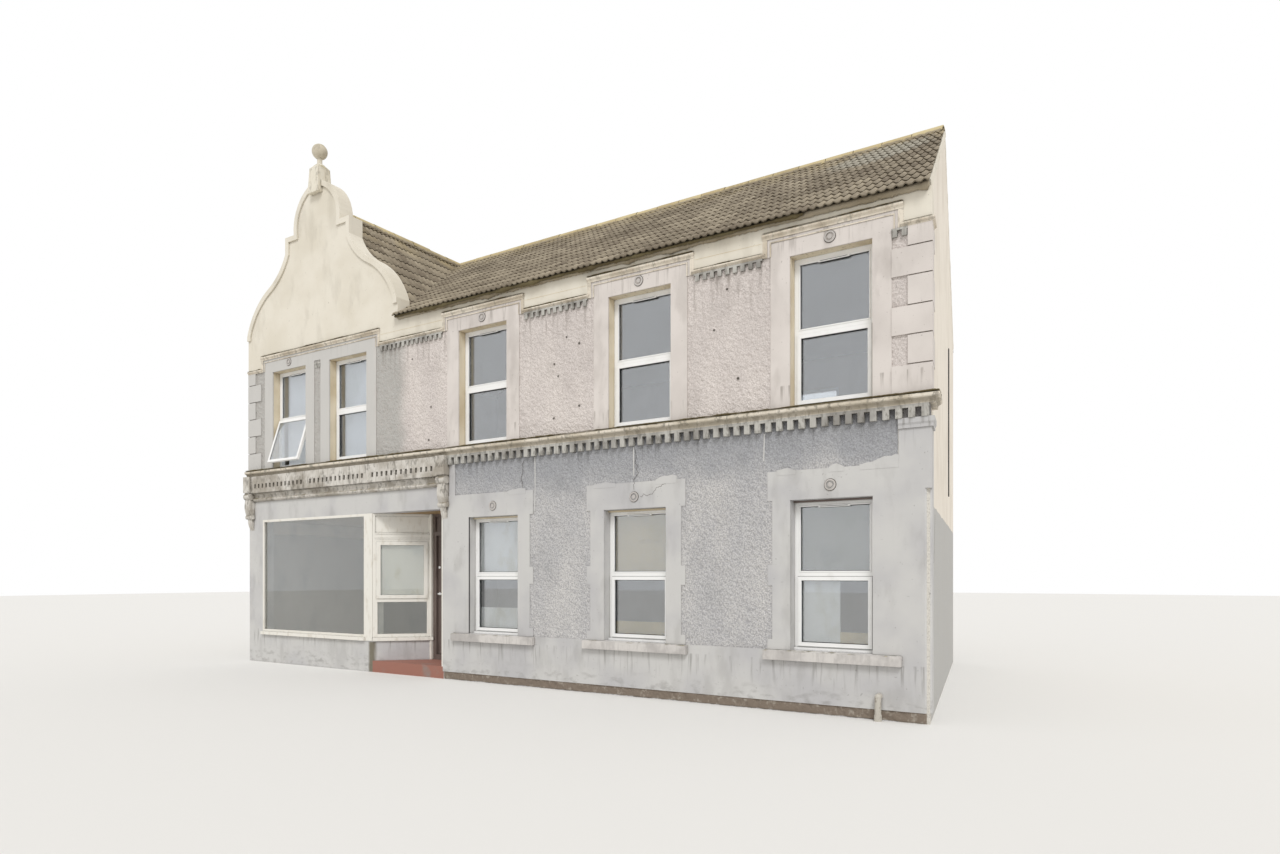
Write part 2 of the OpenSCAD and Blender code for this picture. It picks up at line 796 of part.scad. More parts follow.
module label_dentils() {
    last = len(low_ends) - 1;
    width = dentil_w * 0.75;
    gap = dentil_gap * 0.75;
    low = label_low - small_dentil_h;
    color("darkgray") {
        for (i = [1:last - 1]) teeth(low_ends[i], low_starts[i], label_out * 0.7, low, label_low, width, gap);
        teeth(quoin_long, quoin_short, label_out * 0.7, low, label_low, width, gap);
        teeth(strip_left, strip_right, label_out * 0.4, high_head_z - small_dentil_h, high_head_z,
              fine_tooth_w, fine_tooth_gap);
    }
}

module string_course() {
    color("gainsboro") corner_run(front_len, string_back, string_out, string_low, string_top - string_low);
}

module string_dentils() {
    color("darkgray") teeth(bracket_edge, 0, dentil_out, dentil_low, string_low, dentil_w, dentil_gap);
}

module upper_surrounds() {
    reach = win_w / 2 + surround_side;
    color("lightgray") upright(front_y - band_t, band_t) difference() {
        union() {
            for (x = high_win_x) span(x + reach, max(x - reach, quoin_long), string_top, label_low);
            for (s = label_spans) span(s[0] - label_bar, s[1] + label_bar, label_low, label_high);
        }
        for (x = high_win_x) span(x + win_w / 2, x - win_w / 2, string_top - 1, high_head_z);
    }
}

module ground_surrounds() {
    middle = (low_sill_z + low_head_z) / 2;
    ear = [ear_top - ear_h, ear_top];
    block = [middle - ear_block_h / 2, middle + ear_block_h / 2];
    foot = [low_sill_z, low_sill_z + ear_block_h / 2];
    color("lightgray") upright(front_y - band_t, band_t) difference() {
        union() for (x = low_win_x) {
            left = x + win_w / 2 + ear_side;
            right = x - win_w / 2 - ear_side;
            span(left - notch, max(right + notch, pilaster_w), low_sill_z, ear_top);
            for (z = [ear, block, foot]) span(left, max(right, pilaster_w), z[0], z[1]);
        }
        for (x = low_win_x) span(x + win_w / 2, x - win_w / 2, low_sill_z - 1, low_head_z);
    }
}

module window_sills() {
    drip = 14;
    color("silver") for (x = low_win_x)
        along_x(fx(x + win_w / 2 + sill_side), fx(x - win_w / 2 - sill_side))
            polygon([[front_y, low_sill_z - sill_h], [front_y - sill_out, low_sill_z - sill_h],
                     [front_y - sill_out, low_sill_z - drip], [front_y, low_sill_z]]);
}

// The places that the stone sills take up on the wall face
module sill_spans() {
    reach = win_w / 2 + sill_side;
    for (x = low_win_x) span(x + reach, x - reach, low_sill_z - sill_h, low_sill_z);
}

// Smooth render below the sills, and on the pier beside the shopfront
module plinth() {
    pier_right = low_win_x[0] + win_w / 2 + ear_side;
    color("silver") upright(front_y - band_t, band_t) difference() {
        union() {
            span(shop_right, pilaster_w, plinth_low, low_sill_z);
            span(shop_right, pier_right, plinth_low, bracket_foot_z);
            span(bracket_edge, pier_right, plinth_low, dentil_low);
        }
        sill_spans();
    }
}

module corner_pilaster() {
    cap_h = 110;
    cap_out = 30;
    color("silver") difference() {
        union() {
            corner_coat(pilaster_w, pilaster_w, band_t, plinth_low, dentil_low);
            corner_run(pilaster_w, pilaster_w, cap_out, dentil_low - cap_h, cap_h, band_t, 0);
        }
        corner_cut();
        upright(front_y - 2 * band_t, 2 * band_t) sill_spans();
    }
}

// Long and short blocks in turn, with a joint above each
module corner_quoins() {
    count = floor((label_low - string_top) / (quoin_h + quoin_joint));
    color("lightgray") for (i = [0:count]) {
        z = string_top + i * (quoin_h + quoin_joint);
        long = i % 2 == 0;
        corner_coat(long ? quoin_long : quoin_short, long ? quoin_short : quoin_long, quoin_t, z,
                    min(z + quoin_h, label_low));
    }
}

module left_quoins() {
    count = floor((label_low - string_top) / (quoin_h + quoin_joint));
    color("lightgray") upright(front_y - quoin_t, quoin_t) for (i = [0:count]) {
        z = string_top + i * (quoin_h + quoin_joint);
        span(front_len, front_len - (i % 2 == 0 ? quoin_long : quoin_short), z, min(z + quoin_h, label_low));
    }
}

module plaque(x, z) {
    raised = 12;
    translate([fx(x), front_y - band_t, z]) rotate([90, 0, 0]) {
        difference() {
            cylinder(r = plaque_r, h = raised);
            translate([0, 0, -1]) cylinder(r = plaque_r * 0.72, h = raised + 2);
        }
        cylinder(r = plaque_r * 0.42, h = raised * 0.8);
    }
}

module round_plaques() {
    low_z = low_head_z + (ear_top - low_head_z) * 0.44;
    high_z = (high_head_z + label_high) / 2;
    color("gray") {
        for (x = low_win_x) plaque(x, low_z);
        for (i = [0, 2, 3, 4]) plaque(high_win_x[i], high_z);
    }
}

module shop_pilaster() {
    color("silver") translate([left_x, front_y, 0]) cube([shop_pier_w, wall_t, fascia_top]);
}

module shop_fascia() {
    color("silver") upright(front_y, wall_t) span(shop_left, shop_right, fascia_low, fascia_top);
}

// Bead, cove and slotted slab between the brackets
module shop_cornice() {
    slab_low = string_low - slab_h;
    slot_z = slab_low + slot_foot;
    fillet = 26;
    bead_h = 56;
    bead_out = 24;
    cove_low = slab_low - 72;
    cove_deep = 14;
    x_left = front_len - bracket_w;
    x_right = bracket_edge + bracket_w;
    group = (x_left - x_right) / slot_groups;
    count = floor((group - slot_rest - slot_w) / slot_gap);
    side = (group - count * slot_gap - slot_w) / 2;
    color("beige") difference() {
        along_x(fx(x_left), fx(x_right)) translate([front_y, 0]) mirror([1, 0])
            polygon(concat([[0, fascia_top], [fillet, fascia_top]],
                           arc([fillet, fascia_top + 8], [fillet, fascia_top + 8 + bead_h], -bead_out, 8),
                           [[fillet - 6, cove_low - 8]],
                           arc([fillet - 6, cove_low], [cornice_out * 0.75, slab_low], cove_deep, 6),
                           [[cornice_out, slab_low], [cornice_out, string_low], [0, string_low]]));
        for (g = [0:slot_groups - 1], i = [0:count]) {
            x = x_left - g * group - side - i * slot_gap;
            upright(front_y - cornice_out - 1, slot_deep + 1) span(x, x - slot_w, slot_z, slot_z + slot_h);
        }
    }
}

// A bracket with a square head, a scroll, a curved neck, a smaller scroll and a leaf
module scroll_bracket(x_mid) {
    head_low = string_low - bracket_head;
    big_r = bracket_out * 0.46;
    small_r = bracket_out * 0.3;
    big = [bracket_out - big_r, head_low - big_r - 12];
    small = [small_r + 12, head_low - bracket_neck];
    leaf_w = bracket_w * 0.6;
    neck_in = 12;
    neck_top = big + [big_r * 0.7, -big_r * 0.7];
    curl = big + [big_r * 0.4, -big_r * 0.9];
    neck_foot = [0, small[1] - small_r * 0.9];
    leaf_top = [small_r * 1.4, small[1] - small_r * 0.5];
    translate([fx(x_mid), front_y, 0]) {
        translate([-bracket_w / 2, 0, 0]) rotate([90, 0, 90]) mirror([1, 0, 0]) {
            linear_extrude(bracket_w) translate([0, head_low]) square([bracket_out, string_low - head_low]);
            linear_extrude(bracket_w) translate(big) circle(r = big_r);
            translate([0, 0, neck_in]) linear_extrude(bracket_w - 2 * neck_in)
                polygon(concat([[0, head_low + 1], [bracket_out * 0.8, head_low + 1], neck_top],
                               arc(curl, small + [small_r * 0.6, small_r * 0.7], 26, 8),
                               [small + [small_r * 0.9, 0], small + [0, -small_r * 0.9], neck_foot]));
            linear_extrude(bracket_w) translate(small) circle(r = small_r);
            translate([0, 0, (bracket_w - leaf_w) / 2]) linear_extrude(leaf_w)
                polygon(concat([[0, small[1]]], arc(leaf_top, [0, bracket_foot_z], 22, 8)));
        }
    }
}

module scroll_brackets() {
    color("beige") {
        scroll_bracket(front_len - bracket_w / 2);
        scroll_bracket(bracket_edge + bracket_w / 2);
    }
}

// Places a child in the plane of the screen that runs back from the post to the door
module on_screen() {
    translate([fx(post_right), front_y, 0]) rotate([0, 0, 45]) children();
}

// Everything that the screen meets and must not enter
module screen_limits() {
    clear = 2 * shop_sill_out;
    translate([fx(shop_left), front_y - clear, 0]) cube([shop_left - post_right, clear + wall_t, fascia_top]);
    end_post();
}

module end_post_plan() {
    translate([fx(recess_left) - screen_t, front_y + recess_d - screen_t / 2])
        square([screen_t, screen_t * 1.5]);
}

module end_post() {
    linear_extrude(fascia_low) end_post_plan();
}

module stall_riser() {
    color("gray") {
        translate([fx(shop_left), front_y, 0]) cube([shop_left - post_right, wall_t, riser_top]);
        difference() {
            on_screen() cube([screen_len, screen_t, riser_top]);
            screen_limits();
        }
    }
}

// Outline of the shop window's pane
module shop_pane() {
    span(shop_left - shop_frame_w, post_right + post_w + shop_frame_w, shop_sill_z + shop_frame_w,
         fascia_low - shop_frame_w);
}

// Frame, sill and end post of the fixed shop window
module shop_window_frame() {
    post_left = post_right + post_w;
    post_out = 12;
    color("white") {
        translate([fx(shop_left), front_y - shop_sill_out, riser_top])
            cube([shop_left - post_left, shop_sill_out + frame_d, shop_sill_h]);
        upright(front_y, frame_d) difference() {
            span(shop_left, post_left, shop_sill_z - eps, fascia_low);
            shop_pane();
        }
        translate([fx(post_left) - eps, front_y - post_out, riser_top])
            cube([post_w + eps, wall_t + post_out, fascia_low - riser_top]);
    }
}

// The lower pane and the casement pane of the screen, from y to y + t
module screen_panes(y, t) {
    translate([pane_in * 0.6, y, low_pane_z]) cube([screen_pane_w + pane_in * 0.8, t, low_pane_h]);
    translate([pane_in, y, high_pane_z]) cube([screen_pane_w, t, high_pane_h]);
}

// Splayed screen: panel over two beads, casement with a pane, and a lower pane over a sill
module door_screen() {
    panel_low = pane_top_z + panel_rail;
    panel_x = pane_in * 0.3;
    panel_w = screen_pane_w + pane_in * 1.4;
    lap = casement_w * 0.85;
    color("whitesmoke") {
        difference() {
            on_screen() {
                difference() {
                    translate([0, 0, riser_top])
                        cube([screen_len, screen_t, fascia_low - bed_joint - riser_top]);
                    screen_panes(-1, screen_t + 2);
                    translate([panel_x, -1, panel_low])
                        cube([panel_w, panel_deep + 1, fascia_low - panel_low - panel_margin]);
                }
                for (z = [panel_low - 1.5 * bead_w, pane_top_z + panel_rail / 2])
                    translate([panel_x, -bead_w / 2, z]) cube([panel_w, bead_w / 2 + 1, bead_w]);
                translate([0, -screen_sill_out, riser_top])
                    cube([screen_len, screen_sill_out + 1, shop_sill_h]);
                difference() {
                    translate([pane_in - casement_w, -casement_out, high_pane_z - lap])
                        cube([screen_pane_w + 2 * casement_w, casement_out + 1, high_pane_h + 2 * lap]);
                    screen_panes(-casement_out - 1, casement_out + 3);
                }
            }
            screen_limits();
        }
        end_post();
        translate([fx(shop_right) - arris_w, front_y, step_z])
            cube([arris_w, arris_t, fascia_low - step_z]);
    }
}

module shop_glass() {
    color("lightblue", 0.4) {
        upright(front_y + (frame_d - shop_glass_t) / 2, shop_glass_t) shop_pane();
        on_screen() screen_panes((screen_t - shop_glass_t) / 2, shop_glass_t);
    }
}

module entrance_step() {
    post_x = fx(recess_left);
    post_y = front_y + recess_d - screen_t / 2;
    back = front_y + recess_d + screen_t;
    color("indianred") linear_extrude(step_z)
        polygon([[fx(post_right), front_y], [post_x - screen_t / 2, post_y], [post_x, post_y], [post_x, back],
                 [fx(shop_right), back], [fx(shop_right), front_y]]);
}

// Jambs, head, stop, threshold and the panel over the door
module door_frame() {
    y0 = front_y + recess_d;
    stop_depth = screen_t - leaf_t - door_gap;
    left = recess_left - jamb_w;
    right = shop_right + jamb_w;
    color("saddlebrown") {
        upright(y0, screen_t) difference() {
            span(recess_left, shop_right, step_z, fascia_low);
            span(left, right, floor_top, door_head);
            span(left, right, door_head + jamb_w, fascia_low - jamb_w);
        }
        upright(y0, stop_depth) difference() {
            span(left + eps, right - eps, floor_top - eps, door_head + eps);
            span(left - stop_w, right + stop_w, floor_top - 1, door_head - stop_w);
        }
        upright(y0 + screen_t / 3, screen_t / 3)
            span(left + eps, right - eps, door_head + jamb_w - eps, fascia_low - jamb_w + eps);
        for (z = hinge_z) hinge_part(z, fx(shop_right) - jamb_w, 1);
    }
}

// One side of a butt hinge: the frame's side has the two outer knuckles, the leaf's side the middle one
module hinge_part(z, plate_x, side) {
    third = hinge_len / 3;
    plate_t = (door_gap - 2 * hinge_slip) / 2;
    let_in = 1;
    outer = third - hinge_slip;
    x0 = side > 0 ? plate_x - plate_t : plate_x - let_in;
    knuckles = side > 0 ? [[-hinge_len / 2, outer], [hinge_len / 2 - outer, outer]] : [[-third / 2, third]];
    for (k = knuckles) {
        translate([hinge_x, hinge_y, z + k[0]]) cylinder(r = hinge_r, h = k[1]);
        translate([x0, hinge_y - hinge_plate - hinge_r - 1, z + k[0]])
            cube([plate_t + let_in, hinge_plate + hinge_r + 1, k[1]]);
    }
}

// The door's two panels, the upper one glazed, each grown by a lap
module door_panels(lap) {
    z0 = floor_top + door_gap;
    h = door_h - 2 * door_gap;
    x_left = recess_left - jamb_w - door_gap - door_rail + lap;
    x_right = x_left - leaf_w + 2 * door_rail - 2 * lap;
    span(x_left, x_right, z0 + h * 0.45 - lap, z0 + h - door_rail + lap);
    span(x_left, x_right, z0 + door_rail * 1.6 - lap, z0 + h * 0.45 - door_rail + lap);
}

module door_leaf() {
    x_left = recess_left - jamb_w - door_gap;
    leaf_y = front_y + recess_d + screen_t - leaf_t;
    color("saddlebrown") {
        upright(leaf_y, leaf_t) difference() {
            span(x_left, x_left - leaf_w, floor_top + door_gap, door_head - door_gap);
            door_panels(0);
        }
        upright(leaf_y + leaf_t / 3, leaf_t / 3) door_panels(eps);
        for (z = hinge_z) hinge_part(z, fx(x_left - leaf_w), -1);
    }
}

module door_handle() {
    x = fx(recess_left - jamb_w - door_gap) + door_rail / 2;
    y = front_y + recess_d + screen_t - leaf_t;
    lever = [lever_len, 18, 12];
    neck_r = lever[1] / 2;
    rose_t = 8;
    lock_t = 14;
    color("white") {
        translate([x, y, floor_top + handle_h]) rotate([90, 0, 0]) {
            cylinder(r = rose_r, h = rose_t);
            cylinder(r = neck_r, h = lever_out + lever[2]);
            translate([-neck_r, -neck_r, lever_out]) cube(lever);
        }
        translate([x, y, floor_top + lock_h]) rotate([90, 0, 0]) cylinder(r = rose_r - 2, h = lock_t);
    }
}

// A frame with two lights, seen from outside, its outer face at y = 0
module sash_frame(h, open = 0) {
    w = win_w - 2 * frame_w;
    light_h = (h - sash_bar) / 2 - frame_w;
    sash_top = frame_w + light_h + sash_lap;
    color("white") {
        rotate([90, 0, 0]) translate([0, 0, -frame_d]) linear_extrude(frame_d) difference() {
            translate([-win_w / 2, 0]) square([win_w, h]);
            translate([-w / 2, frame_w + light_h + sash_bar]) square([w, light_h]);
            translate([-w / 2, frame_w]) square([w, light_h]);
        }
        translate([-win_w / 2, -nose_out, 0]) cube([win_w, nose_out + 1, nose_h]);
        translate([0, 0.5, sash_top]) rotate([-open, 0, 0]) rotate([90, 0, 0])
            linear_extrude(open > 0 ? sash_d : sash_proud) sash_ring(light_h + 2 * sash_lap);
    }
}

module sash_ring(h) {
    w = win_w - 2 * frame_w + 2 * sash_lap;
    difference() {
        translate([-w / 2, -h]) square([w, h]);
        translate([-w / 2 + sash_w, -h + sash_w]) square([w - 2 * sash_w, h - 2 * sash_w]);
    }
}

module sash_glass(h, open = 0) {
    w = win_w - 2 * frame_w;
    light_h = (h - sash_bar) / 2 - frame_w;
    sash_top = frame_w + light_h + sash_lap;
    sash_h = light_h + 2 * sash_lap;
    pane_w = w + 2 * sash_lap - 2 * sash_w;
    glass_y = (frame_d - glass_t) / 2;
    color("lightblue", 0.4) {
        translate([-w / 2, glass_y, frame_w + light_h + sash_bar]) cube([w, glass_t, light_h]);
        if (open > 0)
            translate([0, 0.5, sash_top]) rotate([-open, 0, 0])
                translate([-pane_w / 2, -(sash_d + glass_t) / 2, sash_w - sash_h])
                    cube([pane_w, glass_t, sash_h - 2 * sash_w]);
        else
            translate([-w / 2, glass_y, frame_w]) cube([w, glass_t, light_h]);
    }
}

module at_front(x, z) {
    translate([fx(x), front_y + reveal, z]) children();
}

module at_back(x, z) {
    translate([fx(x), back_y - reveal, z]) rotate([0, 0, 180]) children();
}

module ground_window_frames() {
    for (x = low_win_x) at_front(x, low_sill_z) sash_frame(low_head_z - low_sill_z);
}

module upper_window_frames() {
    h = high_head_z - string_top;
    for (x = high_win_x) at_front(x, string_top) sash_frame(h, x == high_win_x[0] ? open_angle : 0);
}

module back_window_frames() {
    for (x = back_win_x) {
        at_back(x, low_sill_z) sash_frame(low_head_z - low_sill_z);
        at_back(x, string_top) sash_frame(high_head_z - string_top);
    }
}

module window_glass() {
    low_h = low_head_z - low_sill_z;
    high_h = high_head_z - string_top;
    for (x = low_win_x) at_front(x, low_sill_z) sash_glass(low_h);
    for (x = high_win_x) at_front(x, string_top) sash_glass(high_h, x == high_win_x[0] ? open_angle : 0);
    for (x = back_win_x) {
        at_back(x, low_sill_z) sash_glass(low_h);
        at_back(x, string_top) sash_glass(high_h);
    }
}

// Half-round gutter under the back eaves, on brackets from the wall
module back_gutter() {
    r = gutter_r;
    skin = 5;
    z = eaves_z - tile_layer - 12;
    y = back_y + eaves_over - 20;
    x1 = side_x(back_y + eaves_over) - 40;
    bracket_inset = 120;
    bracket = [24, y - back_y - r * 0.8, 14];
    count = 6;
    color("dimgray") {
        along_x(gable_right + 20, x1) translate([y, z]) difference() {
            circle(r = r);
            circle(r = r - skin);
            translate([-r - 1, 0]) square([2 * r + 2, r + 1]);
        }
        for (i = [0:count]) {
            x = gable_right + bracket_inset + i * (x1 - gable_right - 2 * bracket_inset) / count;
            translate([x - bracket[0] / 2, back_y, z - 34]) cube(bracket);
        }
    }
}

module pipe_stub() {
    r = pipe_r;
    x = fx(pipe_x);
    wall_gap = 24;
    y = front_y - band_t - r - wall_gap;
    color("lightgray") {
        translate([x, y, 0]) cylinder(r = r, h = pipe_z);
        translate([x, y, 0]) cylinder(r = r + 6, h = 70);
        translate([x, y, pipe_z]) sphere(r = r);
        translate([x, y, pipe_z]) rotate([-90, 0, 0]) cylinder(r = r, h = r + wall_gap);
    }
}

ground_floor();
upper_floor();
ground_front_wall();
upper_front_wall();
side_wall();
back_wall();
left_wall();
back_gable();
curved_gable();
gable_coping();
gable_pedestal();
gable_ball();
roof_front_slope();
roof_back_slope();
cross_roof_left();
cross_roof_right();
ridge_tiles();
frieze();
label_moulding();
label_dentils();
string_course();
string_dentils();
upper_surrounds();
ground_surrounds();
window_sills();
plinth();
corner_pilaster();
corner_quoins();
left_quoins();
round_plaques();
shop_pilaster();
shop_fascia();
shop_cornice();
scroll_brackets();
stall_riser();
shop_window_frame();
door_screen();
shop_glass();
entrance_step();
door_frame();
door_leaf();
door_handle();
ground_window_frames();
upper_window_frames();
back_window_frames();
window_glass();
back_gutter();
pipe_stub();
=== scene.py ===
# %% [markdown]
# # A rendered corner shop, dressed for the camera
#
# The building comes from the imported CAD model: walls, roofs, mouldings, windows and the shopfront,
# each a named node in metres, with Z up and the street front facing -Y. This lesson gives every
# node its real finish, and adds what is too fine for the CAD model: roof tiles, ridge tiles,
# roughcast, glazing beads, vents and other small trim.

import json
import math

import bmesh
import bpy
import numpy as np
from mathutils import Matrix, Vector

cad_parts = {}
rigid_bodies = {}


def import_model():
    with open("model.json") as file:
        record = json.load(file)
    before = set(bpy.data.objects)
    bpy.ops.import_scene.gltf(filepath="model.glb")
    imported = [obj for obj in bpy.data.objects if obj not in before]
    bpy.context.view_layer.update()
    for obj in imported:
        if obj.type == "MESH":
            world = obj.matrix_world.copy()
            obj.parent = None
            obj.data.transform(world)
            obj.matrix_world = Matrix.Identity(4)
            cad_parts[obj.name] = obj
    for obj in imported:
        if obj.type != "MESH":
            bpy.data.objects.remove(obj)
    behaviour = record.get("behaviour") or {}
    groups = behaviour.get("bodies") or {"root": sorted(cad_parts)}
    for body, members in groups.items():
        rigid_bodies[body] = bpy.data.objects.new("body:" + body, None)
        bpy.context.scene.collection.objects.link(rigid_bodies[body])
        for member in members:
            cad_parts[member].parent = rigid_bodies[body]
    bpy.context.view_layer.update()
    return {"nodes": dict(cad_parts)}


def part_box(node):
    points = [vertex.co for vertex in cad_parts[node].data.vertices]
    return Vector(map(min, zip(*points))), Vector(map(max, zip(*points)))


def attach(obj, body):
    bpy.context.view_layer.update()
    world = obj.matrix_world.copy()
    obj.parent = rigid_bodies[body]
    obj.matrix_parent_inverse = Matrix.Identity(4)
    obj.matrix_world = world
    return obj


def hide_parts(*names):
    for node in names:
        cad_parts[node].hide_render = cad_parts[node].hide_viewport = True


for thing in list(bpy.data.objects):
    bpy.data.objects.remove(thing)
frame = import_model()
nodes = frame["nodes"]

# %% [markdown]
# The camera stands on the pavement across the side street, at eye height, and looks level at the
# corner. A photographer of buildings keeps the camera level and shifts the lens up, so that
# upright edges stay upright. A plain camera that tilts up would make the walls lean together.

# %% Camera
IMAGE_W, IMAGE_H = 1280, 854
SENSOR_MM = 36.0
FOCAL_PX = 803.0
HORIZON_PX = 576.0
EYE = Vector((8.252, -12.506, 1.614))
LOOK = Vector((-0.5329, 0.8462, 0.0))


def level_camera(eye, look):
    """A camera at eye that looks level along look. Its shift is (horizon - half the height) / width."""
    data = bpy.data.cameras.new("street_camera")
    data.sensor_width = SENSOR_MM
    data.lens = FOCAL_PX / IMAGE_W * SENSOR_MM
    data.shift_y = (HORIZON_PX - IMAGE_H / 2) / IMAGE_W
    camera = bpy.data.objects.new("street_camera", data)
    camera.rotation_euler = look.to_track_quat("-Z", "Y").to_euler()
    camera.location = eye
    bpy.context.scene.collection.objects.link(camera)
    return camera


bpy.context.scene.camera = level_camera(EYE, LOOK)
bpy.context.scene.view_settings.view_transform = "Standard"
print("lens %.2f mm" % bpy.context.scene.camera.data.lens)

# %% [markdown]
# A material is a small graph of nodes. One function adds a node, sets it and feeds its inputs. A
# finish is one material in the making: it holds the colour so far and lays the next tone over it,
# so that each finish below reads as a list of what lies on the wall. Colours are written as sRGB
# hex, as a paint chart gives them, and turned to the linear values of a render.

# %% Colour and node helpers


def linear(code):
    """sRGB hex to linear: c / 12.92 below 0.04045, else ((c + 0.055) / 1.055) to the power 2.4."""
    c = np.array([int(code[i:i + 2], 16) for i in (1, 3, 5)]) / 255
    return (*np.where(c <= 0.04045, c / 12.92, ((c + 0.055) / 1.055) ** 2.4), 1.0)


def add(tree, kind, feeds=None, **settings):
    """Adds a node. A setting named like a field sets that field, any other sets a socket. feeds maps
    an input to what it gets: another node's output, a number, a vector or a hex colour."""
    node = tree.nodes.new("ShaderNode" + kind)
    for name, value in settings.items():
        if hasattr(node, name):
            setattr(node, name, value)
        else:
            node.inputs[name.replace("_", " ").title()].default_value = value
    for key, value in (feeds or {}).items():
        if isinstance(value, bpy.types.NodeSocket):
            tree.links.new(value, node.inputs[key])
        else:
            node.inputs[key].default_value = linear(value) if isinstance(value, str) else value
    return node


class Finish:
    """A material in the making: its node tree, its one Principled shader, and the colour so far."""

    def __init__(self, name, rough, base, **sockets):
        self.material = bpy.data.materials.new(name)
        self.material.use_nodes = True
        self.tree = self.material.node_tree
        self.shader = self.tree.nodes["Principled BSDF"]
        self.colour = base
        for key, value in {"Roughness": rough, **sockets}.items():
            self.shader.inputs[key.replace("_", " ")].default_value = value

    def add(self, kind, feeds=None, **settings):
        """Adds a node to this finish."""
        return add(self.tree, kind, feeds, **settings)

    def places(self, scale=(1, 1, 1)):
        """Object coordinates in metres, each axis times its scale."""
        coords = self.add("TexCoord").outputs["Object"]
        return self.add("Mapping", {"Vector": coords}, vector_type="POINT", Scale=scale).outputs[0]

    def axis(self, name):
        """One of the object's own X, Y and Z, in metres."""
        return self.add("SeparateXYZ", {0: self.add("TexCoord").outputs["Object"]}).outputs[name]

    def times(self, a, b):
        """The product of two values."""
        return self.add("Math", {0: a, 1: b}, operation="MULTIPLY").outputs[0]

    def larger(self, a, b):
        """The larger of two values."""
        return self.add("Math", {0: a, 1: b}, operation="MAXIMUM").outputs[0]

    def ramp(self, value, low, high, start=0.0, end=1.0):
        """A smooth step: start below low, end above high."""
        node = self.add("MapRange", {"Value": value}, interpolation_type="SMOOTHSTEP",
                        From_Min=low, From_Max=high, To_Min=start, To_Max=end)
        return node.outputs[0]

    def band(self, value, rise, fall, most=1.0):
        """0 outside and most inside: it rises over one pair of values and falls over the other."""
        return self.times(self.ramp(value, *rise), self.ramp(value, *fall, most, 0.0))

    def noise(self, size_mm, stretch=(1, 1, 1), detail=4.0, rough=0.55):
        """Noise whose main lumps are size_mm apart, stretched along the axes by stretch."""
        where = self.places(tuple(1 / s for s in stretch))
        node = self.add("TexNoise", {"Vector": where}, Scale=1000 / size_mm, Detail=detail, Roughness=rough)
        return node.outputs["Fac"]

    def patches(self, size_mm, low, high, most=1.0, stretch=(1, 1, 1), detail=4.0, rough=0.55):
        """A noise through a smooth step: 0 where it is below low, most where it is above high."""
        return self.ramp(self.noise(size_mm, stretch, detail, rough), low, high, 0.0, most)

    def wavy(self, value, size_mm, reach, stretch=(1, 1, 1), detail=4.0):
        """The value plus reach times a noise, so that an edge drawn along it wanders."""
        waves = self.times(self.noise(size_mm, stretch, detail), reach)
        return self.add("Math", {0: value, 1: waves}, operation="ADD").outputs[0]

    def shade_in_corners(self, reach_mm, most):
        """Painted shade: most in corners that see little of the sky within reach_mm, falling to 0 in the
        open.
        """
        seen = self.add("AmbientOcclusion", samples=4, Distance=reach_mm / 1000).outputs["AO"]
        return self.ramp(seen, 0.40, 0.82, most, 0.0)

    def layer(self, amount, tone):
        """Turns the colour so far into tone, by amount."""
        self.colour = self.add("Mix", {0: amount, 6: self.colour, 7: tone}, data_type="RGBA").outputs[2]

    def done(self, *bumps):
        """The finished material. Each bump is (height, depth_mm): it tilts the surface as if the
        height, from 0 to 1, stood that far proud, and lies on the bump before it."""
        self.tree.links.new(self.colour, self.shader.inputs["Base Color"])
        under = {}
        for height, depth_mm in bumps:
            node = self.add("Bump", {"Height": height, **under}, Distance=depth_mm / 1000, Strength=1.0)
            under = {"Normal": node.outputs[0]}
        if under:
            self.tree.links.new(under["Normal"], self.shader.inputs["Normal"])
        return self.material


# %% [markdown]
# Painted render is sand and cement, trowelled smooth and painted with masonry paint. From the
# street it reads as one flat colour, broken by three things: broad soft patches where the paint has
# weathered, fine upright streaks where rain runs down, and dirt that gathers under every ledge.
# Each is a noise at its own real size. The ledges are known from the frame, so the dirt starts at
# the heights where the mouldings are.

# %% Heights that the dirt follows
string_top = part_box("string_course")[1].z
string_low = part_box("string_dentils")[0].z
sill_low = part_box("window_sills")[0].z
label_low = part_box("label_moulding")[0].z
roof_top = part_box("roof_front_slope")[1].z
print("string %.2f to %.2f, sills %.2f, labels %.2f" % (string_low, string_top, sill_low, label_low))

# %% Painted render


def rain_stains(paint, stains, streaks, ledges):
    """The stains, with streaks under each ledge. A ledge is (height, reach): its streaks are
    strongest just under it and fade out reach metres below."""
    for ledge, reach in ledges:
        under = paint.band(paint.axis("Z"), (ledge - reach, ledge), (ledge, ledge + 0.02))
        stains = paint.larger(stains, paint.times(under, streaks))
    return stains


